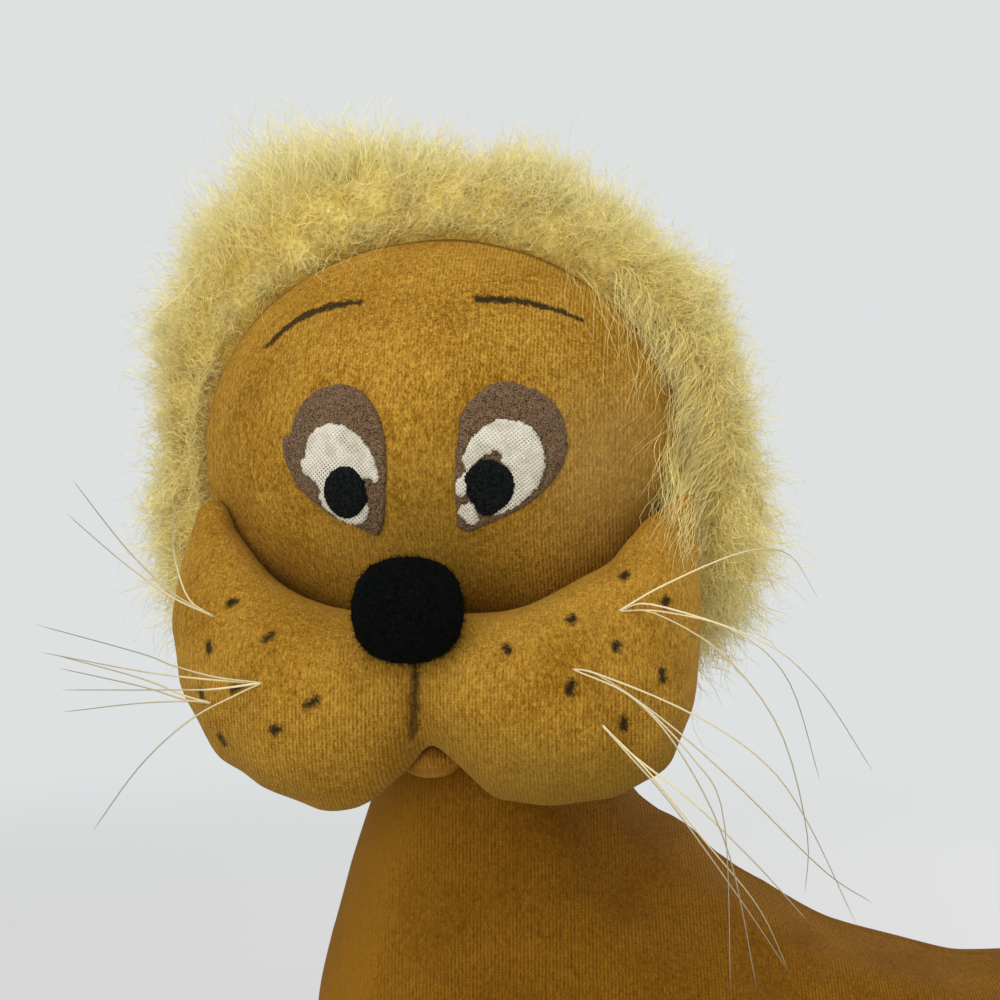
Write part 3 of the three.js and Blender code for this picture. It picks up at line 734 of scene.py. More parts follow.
face_sides = 220
face_rows = 84
lining_rows = 24
face_start = 0.008  # the first row, as a share of the way from the middle of the face to its seam
edge_roll = 0.0032  # how deep the face's edge turns in at the seam
face_around = np.linspace(0, 2 * math.pi, face_sides, endpoint=False)
face_seam = seam_angle(face_around) + 0.012 * np.sin(9 * face_around + 1) * np.cos(4 * face_around)
face_skin = []
for share in np.linspace(face_start, 1, face_rows):
    ways = head_way(face_seam * share, face_around)
    reach = ball_radius(ways) + 0.00035 * lumps(ways * 0.06, 0.03, 3)
    tuck = edge_roll * np.clip((share - 0.965) / 0.035, 0, 1) ** 2
    face_skin.append(ways * (reach - tuck)[:, None])
for share in np.linspace(1, face_start, lining_rows):
    ways = head_way((face_seam - 0.01) * share, face_around)
    face_skin.append(ways * (ball_radius(ways) - edge_roll - 0.0006)[:, None])
face = bowl("face_velour", on_toy(np.array(face_skin)))


# Muzzle and chin
# One cushion with two lobes and an upturned horn at each end, glued and sewn under the face. Its cut
# edge shows along the top, and a small stuffed lip sits in the notch between the lobes.

horn_low, horn_high = 0.052, 0.03  # below the head's middle, where the lobes pass into the horns
left_rise, right_fall = 0.0032, 0.003  # how far the top edge rides up on the left and dips on the right


def rounded(piece):
    """Rounds the lobes off well, and keeps the narrow horns as full as they are cut."""
    softened(piece, 5)
    full = points_of(piece)
    softened(piece, 36)
    share = smooth_step(in_head(full)[:, 2:], -horn_low, -horn_high)
    move_points(piece, points_of(piece) * (1 - share) + full * share)


def edged(points):
    """Fits the top edge to the face, which it was sewn to a little askew."""
    local = in_head(points)
    top = smooth_step(local[:, 2], -0.062, -0.036)
    rise = left_rise * smooth_step(local[:, 0], 0.02, 0.04)
    fall = right_fall * np.exp(-(((local[:, 0] + 0.042) / 0.011) ** 2))
    return points + ((rise - fall) * top)[:, None] * np.array([0, 0, 1])


muzzle_pushes = [
    (345, 812, 0, 5, 32), (222, 760, -2, 4, 18), (238, 530, -7, 0, 18), (648, 530, -5, -9, 24),
    (625, 548, -2, -4, 14), (431, 748, 0, -6, 11),
]
muzzle_sink = 0.001


def pressed(points, facing):
    """Presses the back of the muzzle on to the face that it is sewn to, straight back from its edge."""
    local = in_head(points)
    level = 1 - (2 * local[:, 0] / head_wide) ** 2 - (2 * local[:, 2] / head_high) ** 2
    gap = -head_deep / 2 * np.sqrt(np.maximum(level, 0)) - local[:, 1]
    turned = smooth_step((facing @ head_turned)[:, 1], 0.05, 0.5) * smooth_step(level, 0.08, 0.2)
    sink = np.maximum(0, gap + muzzle_sink) * turned * (1 - smooth_step(gap, 0.016, 0.024))
    return points + sink[:, None] * np.array(head_along)


muzzle = evened("muzzle", "muzzle_velour", 0.0024)
swelled(muzzle, -0.0006)
filled(muzzle, give=0.001)
rounded(muzzle)
swelled(muzzle, 0.0004)
move_points(muzzle, shaped(edged(points_of(muzzle)), muzzle_pushes))
move_points(muzzle, pressed(points_of(muzzle), outward(muzzle)))
divided(muzzle, 2)

groove_depth = 0.0022
groove_width = 0.0026


def creased(points):
    """Draws the skin in along the line from the nose down to the notch."""
    local = in_head(points)
    near = np.exp(-(((local[:, 0] + 0.0004) / groove_width) ** 2))
    depth = groove_depth * near * smooth_step(-local[:, 1], 0.045, 0.055)
    return points + depth[:, None] * np.array(head_along)


move_points(muzzle, creased(points_of(muzzle)))
muzzle_tree = tree_of(muzzle)
face_tree = tree_of(face)


def ink(place, strokes, blur):
    """1 inside strokes of ink and 0 outside. A stroke is a row of places, each with its radius."""
    least = None
    for stroke in strokes:
        for (first, radius), (second, last_radius) in zip(stroke, stroke[1:]):
            run = second - first
            from_first = place.vector("SUBTRACT", tuple(first))
            share = from_first.towards(tuple(run / run.length_squared))
            held = share.maths("MAXIMUM", 0.0).maths("MINIMUM", 1.0)
            from_line = from_first.vector("DISTANCE", held.along(tuple(run)), "Value")
            gap = from_line - (held * (last_radius - radius) + radius)
            least = gap if least is None else least.maths("MINIMUM", gap)
    edge = least + (place.noise(0.0006, 2) - 0.5) * 0.0022 + (place.noise(0.002) - 0.5) * 0.0018
    return 1 - edge.between(-blur, blur)


# Where the ink shows in the picture: columns, rows and half the stroke's width, in pixels
brow_pixels = [
    [(267, 346, 2.6), (283, 331, 4.8), (300, 318, 5.5), (322, 309, 5.1), (343, 304, 4.8), (360, 302, 3.8)],
    [(479, 299, 5), (505, 300, 4.6), (530, 303, 4), (560, 311, 3.3), (583, 321, 2)],
]
lip_pixels = [(415, 656, 4.8), (415, 690, 4.6), (413.5, 712, 6), (412.5, 733, 6.5)]
spot_radius = 5.2
# Each spot's middle in the picture, and how far it is drawn out each way across and down
spot_pixels = [
    (233, 602, 2, -1), (268, 637, 2, -1.5), (209, 648, 0.5, 2), (236, 688, 2.5, -1), (202, 696, 0.5, 2),
    (312, 702, 3, -2.5), (276, 730, 2, -1), (222, 740, 1.5, 2.5), (624, 575, 1, -1.5), (666, 601, 1, -2),
    (572, 619, 1, -1.5), (507, 649, 1, 0.5), (617, 646, 1, -1.5), (662, 675, 0.5, 3), (571, 687, 1, -3.5),
    (624, 724, 0.5, 3),
]
ink_colour = paint(26, 20, 10)


def drawn(tree, pixels):
    """A stroke over a skin from its columns, rows and half widths in the picture."""
    return [(seen(tree, column, row), radius * pixel_wide) for column, row, radius in pixels]


brows = [drawn(face_tree, brow) for brow in brow_pixels]
spots = [
    drawn(muzzle_tree, [(column - a, row - b, spot_radius), (column + a, row + b + 0.5, spot_radius - 0.6)])
    for column, row, a, b in spot_pixels
]
lip = [drawn(muzzle_tree, lip_pixels)]
nose_low, nose_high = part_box("nose")
nose_middle = (nose_low + nose_high) / 2


def soiled_and_shaded(place, colour, middle, near, far, amount):
    """The colour, greyed by handling round a place, and darkened there with painted shade."""
    gap = place.distance(middle) + (place.noise(0.012, 3) - 0.5) * 0.03
    return ((1 - gap.between(near, far)) * amount).tint(colour, olive_grime_and_shade)


def ball_share(place):
    """How far out a place lies from the head's middle, and 1 is the face of the stuffed ball."""
    from_middle = place.vector("SUBTRACT", tuple(head_middle))
    return from_middle.vector("MULTIPLY", (2 / head_wide, 2 / head_deep, 2 / head_high)).distance((0, 0, 0))


def leftward(place):
    """How far a place lies to the lion's left of the head's middle."""
    return place.towards(head_across) - head_middle.dot(Vector(head_across))


def upward(place):
    """How far a place lies above the head's middle."""
    return place.towards((0, 0, 1)) - head_middle.z


def seam_shadow_line(place):
    """1 along the edge of the face over the brow, where the stitches draw it down, and 0 elsewhere: where a
    painted shadow line runs.
    """
    reach = place.distance(head_middle)
    behind = place.vector("SUBTRACT", tuple(head_middle)).towards(head_along)
    girth = (reach * reach - behind * behind).maths("SQRT")
    high = upward(place).maths("DIVIDE", girth)
    ahead = behind.maths("DIVIDE", reach) * -1.0
    inside = ahead - (high * 0.163 + 0.276) + (place.noise(0.004) - 0.5) * 0.02
    return (1 - inside.between(0.044, 0.068)) * high.between(0.05, 0.8)


def face_marks(place, colour):
    # painted shade: the turned-in edge of the face and a line along its seam are darkened as if in shadow
    rolled = (1 - ball_share(place).between(0.952, 0.98)) * 0.85
    colour = rolled.maths("MAXIMUM", seam_shadow_line(place) * 0.8).tint(colour, seam_shade)
    colour = soiled_and_shaded(place, colour, nose_middle, 0.008, 0.055, 0.6)
    colour = ((1 - place.distance(worn_cheek).between(0.006, 0.034)) * 0.55).tint(colour, worn_khaki)
    return (ink(place, brows, 0.0006) * 0.94).tint(colour, ink_colour)


def face_worn(place, bare):
    """The nap has gone on the left half of the face and low down, where hands hold it."""
    low = 1 - upward(place).between(-0.045, -0.01)
    return bare * 0.4 + leftward(place).between(-0.005, 0.03) * 0.45 + low * 0.35


def muzzle_marks(place, colour):
    # painted shade: the undersides of the lobes are darker, more so on the lion's left, away from the light
    low = 1 - (upward(place) + (place.noise(0.015, 3) - 0.5) * 0.03).between(-0.088, -0.06)
    colour = (low * (leftward(place).between(-0.01, 0.02) * 0.3 + 0.35)).tint(colour, olive_grime_and_shade)
    colour = (ink(place, spots, 0.0009) * 0.97).tint(colour, ink_colour)
    lip_strength = upward(place).between(-0.08, -0.05) * 0.35 + 0.62
    return (ink(place, lip, 0.0011) * lip_strength).tint(colour, ink_colour)


def muzzle_worn(place, bare):
    """The nap is whole on the horns and the top of the lobes, and gone under them."""
    return bare * 0.3 + (1 - upward(place).between(-0.072, -0.046)) * 0.8 - 0.1


worn_cheek = seen(face_tree, 615, 470)
face_cloth = velour("face_velour", head_across, head_along, (0, 0, 1), face_marks, face_worn)
muzzle_cloth = velour("muzzle_velour", head_across, head_along, (0, 0, 1), muzzle_marks, muzzle_worn, 0.8)
sewn(face, "velour", face_cloth, "face_panel")
sewn(muzzle, "velour", muzzle_cloth, "muzzle")

chin = evened("chin", "chin_velour", 0.0016)
softened(chin, 6)
swelled(chin, 0.001)
divided(chin, 1)
chin_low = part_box("chin")[0].z
chin_rim = paint(172, 130, 56)
chin_shadow = paint(84, 46, 2)


def chin_marks(place, colour):
    """The lip is paler along its lower edge, and darkened by painted shade up in the notch."""
    height = place.towards((0, 0, 1)) + (place.noise(0.004) - 0.5) * 0.001
    colour = ((1 - height.between(chin_low - 0.001, chin_low + 0.0022)) * 0.7).tint(colour, chin_rim)
    return (height.between(chin_low + 0.003, chin_low + 0.0085) * 0.85).tint(colour, chin_shadow)


chin_cloth = velour(
    "chin_velour", head_across, head_along, (0, 0, 1), chin_marks, nap=0.7,
    deep=paint(122, 76, 8), pale=paint(178, 128, 44),
)
sewn(chin, "velour", chin_cloth, "chin")


# Mane
# Long-pile fabric over the top, sides and back of the head. Its knitted ground hugs the stuffed ball,
# and the pile stands off it, thickest at the top right and low at the sides.

mane_tree = tree_of(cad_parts["mane"])
mane_seen_from = 0.3  # rays come in from this far out
# Where the pile stands up more than elsewhere: its direction, how much more, and over what angle
crests = [
    (head_way(math.radians(98), math.radians(131)), 0.01, 0.34),
    (head_way(math.radians(95), math.radians(-14)), 0.0055, 0.3),
]


def mane_depth(ways):
    """How far the CAD mane stands off the ball in each direction given from the head's middle."""
    depths = np.zeros(len(ways))
    radius = ball_radius(ways)
    for i, way in enumerate(ways @ head_turned.T):
        outside = head_middle + Vector(way) * mane_seen_from
        spot = mane_tree.ray_cast(outside, Vector(-way), mane_seen_from - radius[i])[0]
        if spot:
            depths[i] = (spot - head_middle).length - radius[i]
    full = depths * (1 + 0.1 * lumps(ways * 0.08, 0.036, 11))
    for middle, high, spread in crests:
        crest = high * np.exp(-((np.arccos(np.clip(ways @ middle, -1, 1)) / spread) ** 2))
        full += crest * np.minimum(1, depths / 0.015)
    return full


ground_share = 0.78  # how far out the dense part of the pile reaches
seam_turn = 0.0042  # how deep the ground is turned in at the seam
seam_fade = 0.02
ground_sides = 220
ground_rows = 100
lining_depth = 0.0015  # how far under the skin of the ball the ground's lower face lies
ground_lining_rows = 26
ground_start, ground_end = 0.004, 1.003  # as shares of the way from the middle of the back to the seam
ground_around = np.linspace(0, 2 * math.pi, ground_sides, endpoint=False)
ground_seam = seam_angle(ground_around)
ground_skin = []
for share in np.linspace(ground_end, ground_start, ground_rows):
    ways = head_way(math.pi - (math.pi - ground_seam) * share, ground_around)
    depth = mane_depth(ways) * ground_share
    depth = depth + 0.0018 * lumps(ways * 0.08, 0.013, 8) * np.minimum(1, depth / 0.008)
    sunk = seam_turn * math.exp((share - ground_end) / seam_fade)
    ground_skin.append(ways * (ball_radius(ways) + np.maximum(depth, 0.0006) - sunk)[:, None])
inner_ground = []
for share in np.linspace(ground_start, ground_end, ground_lining_rows):
    ways = head_way(math.pi - (math.pi - ground_seam) * share, ground_around)
    sunk = seam_turn * math.exp((share - ground_end) / seam_fade)
    inner_ground.append(ways * (ball_radius(ways) - lining_depth - sunk)[:, None])
ground = bowl("mane_ground", on_toy(np.array(inner_ground + ground_skin)))
warm_shaded_pile = paint(172, 128, 36)


def warmed_and_shaded(place, colour):
    """Pile next to the velour of the face and the ball is warmer, and darker with painted shade deep among
    the roots.
    """
    return ((1 - ball_share(place).between(0.97, 1.09)) * 0.75).tint(colour, warm_shaded_pile)


sewn(ground, "pile", ground_finish("mane_ground", warmed_and_shaded), "mane")

mane_cloth = pile_finish("mane_pile")
# Pile by the seam is warmer, and its roots are darker with painted shade.
seam_cloth = pile_finish("seam_pile", paint(206, 166, 70), paint(246, 222, 128), paint(242, 224, 150))
mane_strands = 33000
seam_strands = 9500
most_strands = 4900  # in one piece
trimmed = {1: cad_box[1][1] + 0.0135, 2: cad_box[1][2] + 0.017}  # no pile reaches further back or up
trim_soft = 0.007  # and this far short of that it starts to bend over
seam_band = 0.13  # the pile this near the seam, as an angle behind it, is warmer, and darker at the root with painted shade
mane_rng = np.random.default_rng(17)
seam_around = mane_rng.uniform(0, 2 * math.pi, seam_strands)
seam_back = mane_rng.uniform(0.006, 0.34, seam_strands)
mane_ways = np.concatenate(
    [
        unit(mane_rng.normal(size=(2 * mane_strands, 3))),
        head_way(seam_angle(seam_around) + seam_back, seam_around),
    ]
)
mane_around = np.arctan2(mane_ways[:, 2], mane_ways[:, 0])
mane_ahead = np.arccos(np.clip(-mane_ways[:, 1], -1, 1))
behind_seam = mane_ahead - seam_angle(mane_around)
kept = behind_seam > 0.003
mane_ways, behind_seam, mane_around = mane_ways[kept], behind_seam[kept], mane_around[kept]
mane_full = mane_depth(mane_ways)
kept = np.flatnonzero(mane_full > 0.001)[-mane_strands - seam_strands :]
mane_ways, behind_seam, mane_around, mane_full = (
    each[kept] for each in [mane_ways, behind_seam, mane_around, mane_full]
)
mane_normals = unit(mane_ways / np.array([head_wide, head_deep, head_high]) ** 2)
root_share = 0.55
root_sunk = seam_turn * np.exp(-behind_seam / 0.039)
root_height = np.maximum(root_share * mane_full - root_sunk, -0.001)
mane_roots = mane_ways * (ball_radius(mane_ways) + root_height)[:, None]
lean = np.stack([lumps(mane_roots, 0.03, seed) for seed in [21, 22, 23]], axis=-1)
cowlick = np.stack([lumps(mane_roots, 0.011, seed) for seed in [31, 32, 33]], axis=-1)
at_seam = np.exp(-behind_seam / 0.14)[:, None]
left_cheek = np.exp(-(((mane_around - 0.05) / 0.6) ** 2))[:, None]
low_side = smooth_step(-mane_ways[:, 2], -0.35, 0.5)[:, None]
crown = smooth_step(np.sin(mane_around), 0.6, 0.9)[:, None]
mane_growth = unit(
    mane_normals
    + 0.34 * lean
    + 0.42 * cowlick
    + 0.34 * mane_rng.normal(size=mane_normals.shape)
    + at_seam * (1 - 0.5 * crown) * np.array([0, -0.34, 0])
    + at_seam * left_cheek * np.array([-0.15, -0.5, -0.35])
    + low_side * np.array([0, 0, -0.45])
)
mane_rise = np.clip((mane_growth * mane_normals).sum(1), 0.6, 1)
mane_lengths = mane_full * (1 - root_share) / mane_rise * mane_rng.uniform(0.72, 1.05, len(mane_full))
mane_longer = np.minimum(mane_rng.exponential(0.0038, len(mane_full)), 0.013)
mane_lengths += mane_longer * np.minimum(1, mane_full / 0.012)
mane_lengths *= 1 + 0.2 * lumps(mane_roots, 0.009, 41)
mane_lengths = np.maximum(mane_lengths, mane_rng.uniform(0.0045, 0.009, len(mane_full)))


def held_in(middles):
    """Bends the longest pile over, so that it keeps to the size that the mane is trimmed to."""
    held = middles.copy()
    for axis, limit in trimmed.items():
        over = np.maximum(0, middles[:, :, axis] - (limit - trim_soft))
        held[:, :, axis] -= over - trim_soft * (1 - np.exp(-over / trim_soft))
    return held


by_seam = behind_seam < seam_band
for group, group_cloth, members in [
    ("mane_pile", mane_cloth, np.flatnonzero(~by_seam)),
    ("mane_seam_pile", seam_cloth, np.flatnonzero(by_seam)),
]:
    members = members[np.argsort(mane_around[members])]
    shares = np.array_split(members, math.ceil(len(members) / most_strands))
    for number, chosen in enumerate(shares, start=1):
        middles = pile_strands(
            on_toy(mane_roots[chosen]), mane_growth[chosen] @ head_turned.T, mane_lengths[chosen], mane_rng,
            tuft_share=0.03, curl=0.0028, tuft=0.64, bow=0.22,
        )
        pile_piece(f"{group}_{number}", held_in(middles), mane_rng, group_cloth, "mane")

# The longest pile grows at the seam. On the left it falls over the edge of the face in locks.
fringe_rng = np.random.default_rng(29)
fringe_steps = 9


def fringe(count, around, behind, length, slant, lift):
    """Strands that lie over the ball from the seam, each a bend in angles ahead and around."""
    t = np.linspace(0, 1, fringe_steps)[None]
    start, back, reach, lean_down, stand = (
        fringe_rng.uniform(low, high, (count, 1)) for low, high in [around, behind, length, slant, lift]
    )
    ahead = seam_angle(start) + back - reach * np.cos(lean_down) / (head_wide / 2) * t
    girth = head_wide / 2 * np.sin(np.maximum(0.3, ahead))
    turned = start - reach * np.sin(lean_down) / girth * t**1.3
    ways = head_way(ahead, turned)
    height = ball_radius(ways) + 0.0012 + stand * np.sin(np.pi * np.minimum(0.85, t + 0.15)) + 0.001 * t
    return ways * height[:, :, None]


locks = np.concatenate(
    [
        fringe(900, (-0.3, 0.8), (0.0, 0.13), (0.01, 0.024), (0.5, 1.6), (0.002, 0.008)),
        fringe(420, (-0.4, 0.5), (0.0, 0.14), (0.01, 0.022), (0.9, 2.2), (0.004, 0.01)),
        fringe(220, (2.7, 3.6), (0.02, 0.09), (0.006, 0.012), (-1.4, -0.6), (0.001, 0.003)),
    ]
)
locks = curled(drawn_together(locks, 0.5, 0.04, fringe_rng), 0.0026, fringe_rng)
fringe_thickness = 0.0002
pile_piece("mane_fringe", on_toy(locks), fringe_rng, seam_cloth, "mane", fringe_thickness)

# A few locks hang from the mane over the end of the left horn, and lie on what they cross.
lock_trees = [tree_of(each) for each in [face, muzzle, ground]]
lock_lift = 0.0018
# How many strands hang together, and the boxes of pixels that they start in, pass through and end in
lock_groups = [
    (190, [
        ((670, 396), (710, 440)), ((664, 450), (706, 478)), ((656, 490), (698, 514)),
        ((646, 526), (688, 566)),
    ]),
    (150, [((688, 468), (720, 498)), ((682, 512), (710, 538)), ((678, 556), (704, 590))]),
]


def lying_on_toy(column, row):
    """The place just in front of whatever shows at a pixel of the picture."""
    found = [spot for spot in (seen(tree, column, row) for tree in lock_trees) if spot]
    nearest = min(found, key=lambda spot: (spot - viewpoint).length)
    return nearest - (nearest - viewpoint).normalized() * (lock_lift * fringe_rng.uniform(0.4, 1.6))


def bend(a, b, c, d, t):
    """The place t of the way from b to c, on a smooth line that also passes through a and d."""
    return 0.5 * (2 * b + (c - a) * t + (2 * a - 5 * b + 4 * c - d) * t**2 + (3 * b - a - 3 * c + d) * t**3)


def smoothed(places, steps):
    """A bend through places, evenly spaced in its own steps."""
    ends = np.concatenate([[2 * places[0] - places[1]], places, [2 * places[-1] - places[-2]]])
    spans = len(places) - 1
    result = []
    for share in np.linspace(0, spans, steps):
        span = min(int(share), spans - 1)
        result.append(bend(*ends[span : span + 4], share - span))
    return np.array(result)


hanging = []
for strand_count, lock_boxes in lock_groups:
    for _ in range(strand_count):
        drift = fringe_rng.normal(0.5, 0.26)
        places = []
        passed = fringe_rng.integers(len(lock_boxes) - 1, len(lock_boxes) + 1)
        for (left, top), (right, bottom) in lock_boxes[:passed]:
            aside = drift + fringe_rng.normal() * 0.2
            places.append(lying_on_toy(left + (right - left) * aside, fringe_rng.uniform(top, bottom)))
        hanging.append(smoothed(np.array(places), fringe_steps))
hanging = curled(drawn_together(np.array(hanging), 0.4, 0.1, fringe_rng), 0.0016, fringe_rng)
pile_piece("mane_hanging_locks", hanging, fringe_rng, seam_cloth, "mane", fringe_thickness)

# Loose hairs lie on the forehead and the left cheek, and over the ends of the muzzle.
stray = np.concatenate(
    [
        fringe(70, (0.0, 0.95), (-0.1, 0.03), (0.014, 0.034), (0.4, 1.5), (0.0003, 0.0015)),
        fringe(16, (1.7, 2.5), (-0.04, 0.03), (0.01, 0.022), (-0.9, 0.9), (0.0003, 0.0012)),
    ]
)
stray = on_toy(curled(stray, 0.0013, fringe_rng))
pile_piece("mane_stray_hairs", stray, fringe_rng, seam_cloth, "mane", thickness=0.00014)


# Nose
# A ball of black felt over filling, gathered at the back and sewn on where the lobes meet the face.

nose = evened("nose", "nose_felt", 0.001)
softened(nose, 5)
swelled(nose, 0.0005)
divided(nose, 1)
nose_points = points_of(nose)
fuzz = lumps(nose_points, 0.0022, 5)[:, None] * 0.00012
move_points(nose, nose_points + fuzz * outward(nose))


def felt(name, deep, pale, sheen):
    """Pressed felt: matted fibres in every direction, with a fine fleck."""
    fixed = {
        "Roughness": 1.0,
        "Sheen Weight": sheen,
        "Sheen Roughness": 0.5,
        "Specular IOR Level": 0.05,
    }
    material, shader, place = new_finish(name, fixed)
    matted = place.noise(0.001, 3)
    fleck = place.noise(0.00032, 2)
    mixed = matted.between(0.3, 0.7) * 0.3 + fleck.between(0.4, 0.62) * 0.7
    mixed.tint(deep, pale).into(shader, "Base Color")
    (matted + fleck).bumps(shader, 0.7, 0.0004)
    return material


black_felt = felt("black_felt", paint(0, 0, 0), paint(32, 36, 34), 0.01)
nose_felt = felt("nose_felt", paint(0, 0, 0), paint(16, 19, 17), 0.0)
sewn(nose, "black_felt", nose_felt, "nose")
fuzz_count = 2600
fuzz_rng = np.random.default_rng(53)
fuzz_points, fuzz_facing = points_of(nose), outward(nose)
fuzz_pick = fuzz_rng.integers(0, len(fuzz_points), fuzz_count)
fuzz_ways = unit(fuzz_facing[fuzz_pick] + 0.6 * fuzz_rng.normal(size=(fuzz_count, 3)))
fuzz_reach = fuzz_rng.uniform(0.0005, 0.0016, (fuzz_count, 1, 1)) * np.linspace(0, 1, 3)[None, :, None]
fuzz_middles = fuzz_points[fuzz_pick][:, None] + fuzz_ways[:, None] * fuzz_reach
pile_piece("nose_fuzz", fuzz_middles, fuzz_rng, nose_felt, "nose", thickness=0.00012, slot="black_felt")


# Eyes
# Three layers glued on each other: a brown felt teardrop, a white woven cloth one on it, worn and
# frayed at its edges, and a black felt pupil. Each has the curve of the face under it.

felt_thick = 0.0011
white_thick = 0.0007
layer_cell = 0.00032
edge_share = 0.45  # how thick a layer is at its rim, before it rounds up to its full thickness


def traced(pixels, height):
    """The outline on the face that shows at a closed row of pixels once it is raised by a height,
    rounded between them."""
    sights = [seen(face_tree, *pixel) for pixel in pixels]
    skin = in_head(sights)
    facing = unit(skin / (np.array([head_wide, head_deep, head_high]) / 2) ** 2)
    sight_ways = unit(np.array([spot - viewpoint for spot in sights]) @ head_turned)
    raised = sight_ways * (height / (sight_ways * facing).sum(1))[:, None] - facing * height
    spots = (skin + raised)[:, [0, 2]]
    ends = np.concatenate([spots[-1:], spots, spots[:2]])
    t = np.linspace(0, 1, 5, endpoint=False)[:, None]
    return np.concatenate([bend(*four, t) for four in zip(ends, ends[1:], ends[2:], ends[3:])])


def edge_distance(spots, outline):
    """How far each place lies outside an outline, and below 0 inside it."""
    runs = np.roll(outline, -1, axis=0) - outline
    to_spot = spots[:, None] - outline
    share = np.clip((to_spot * runs).sum(2) / (runs**2).sum(1), 0, 1)
    gap = np.linalg.norm(to_spot - share[:, :, None] * runs, axis=2).min(1)
    x, z = spots[:, None, 0], spots[:, None, 1]
    rises = (outline[:, 1] > z) != ((outline + runs)[:, 1] > z)
    level = (z - outline[:, 1]) / np.where(runs[:, 1] == 0, 1e-12, runs[:, 1])
    inside = (rises & (x < outline[:, 0] + level * runs[:, 0])).sum(1) % 2 == 1
    return np.where(inside, -gap, gap)


def on_face(spots, height):
    """Places across and up from the head's middle, laid on the face at a height over the velour."""
    x, z = spots[:, 0], spots[:, 1]
    half = np.array([head_wide, head_deep, head_high]) / 2
    y = -half[1] * np.sqrt(np.maximum(0.01, 1 - (x / half[0]) ** 2 - (z / half[2]) ** 2))
    skin = np.stack([x, y, z], axis=1)
    return skin + unit(skin / half**2) * np.reshape(height, (-1, 1))


def layer(name, outline, base, thick, fray, seed):
    """A flat cloth shape laid on the face. Its faces are small cells, and those past the edge are left
    out. fray lets the edge wander as worn cloth does."""
    low, high = outline.min(0) - layer_cell, outline.max(0) + layer_cell
    columns, rows = (np.ceil((high - low) / layer_cell)).astype(int) + 1
    grid = np.stack(np.meshgrid(np.arange(columns), np.arange(rows), indexing="ij"), axis=-1).reshape(-1, 2)
    spots = low + grid * layer_cell
    flat = np.concatenate([spots, np.zeros((len(spots), 1))], axis=1)
    wander = 0.6 * lumps(flat, 0.0022, seed) + 0.5 * lumps(flat, 0.0009, seed + 1)
    out = edge_distance(spots, outline) + fray * wander
    index = np.arange(columns * rows).reshape(columns, rows)
    cells = np.stack([index[:-1, :-1], index[1:, :-1], index[1:, 1:], index[:-1, 1:]], axis=-1).reshape(-1, 4)
    used, numbers = np.unique(cells[out[cells].mean(1) < 0], return_inverse=True)
    cells = numbers.reshape(-1, 4)
    count = len(used)
    edges = [(a, b) for cell in cells for a, b in zip(cell, np.roll(cell, -1))]
    run_along = set(edges)
    rim = [(a, b) for a, b in edges if (b, a) not in run_along]
    on_rim = np.zeros(count, bool)
    on_rim[[a for a, _ in rim]] = True
    depth = np.clip(-out[used] / thick, 0, 1)
    crown = np.where(on_rim, edge_share, edge_share + (1 - edge_share) * np.sqrt(1 - (1 - depth) ** 2))
    top = on_face(spots[used], base + thick * crown)
    bottom = on_face(spots[used], base)
    faces = [tuple(cell) for cell in cells]
    faces += [tuple(cell[::-1] + count) for cell in cells]
    faces += [(b, a, a + count, b + count) for a, b in rim]
    return new_skin(name, on_toy(np.concatenate([top, bottom])), faces)


brown_felt = felt("brown_felt", paint(50, 36, 20), paint(138, 110, 82), 0.08)

white_fixed = {"Roughness": 0.9, "Sheen Weight": 0.1, "Specular IOR Level": 0.2}
white_cloth, white_shader, white_place = new_finish("white_weave", white_fixed)
thread_pitch = 0.00074
white_wander = white_place.noise(0.003) * 2
warp = np.array(head_across) * 0.78 + np.array([0, 0, 0.62])
weft = np.array(head_across) * -0.62 + np.array([0, 0, 0.78])
warp_threads = ridges(white_place, tuple(warp), thread_pitch, white_wander)
weft_threads = ridges(white_place, tuple(weft), thread_pitch, white_wander)
weave = warp_threads.maths("MAXIMUM", weft_threads)
open_weave = white_place.noise(0.004, 3).between(0.45, 0.75) * 0.55 + 0.3
for pupil_pixel in [(344, 492), (490, 488)]:  # the middles of the pupils, where the cloth has worn most
    from_pupil = white_place.distance(seen(face_tree, *pupil_pixel))
    open_weave = open_weave + (1 - from_pupil.between(0.0065, 0.0105)) * 0.45
linen = white_place.noise(0.0035, 3).between(0.35, 0.75).tint(paint(232, 225, 204), paint(206, 196, 170))
linen = ((1 - weave.between(0.05, 0.6)) * open_weave).tint(linen, paint(84, 68, 52))
linen.dimmed((white_place.noise(0.0004) - 0.5) * 0.5 + 1).into(white_shader, "Base Color")
weave.bumps(white_shader, 0.8, 0.0004)

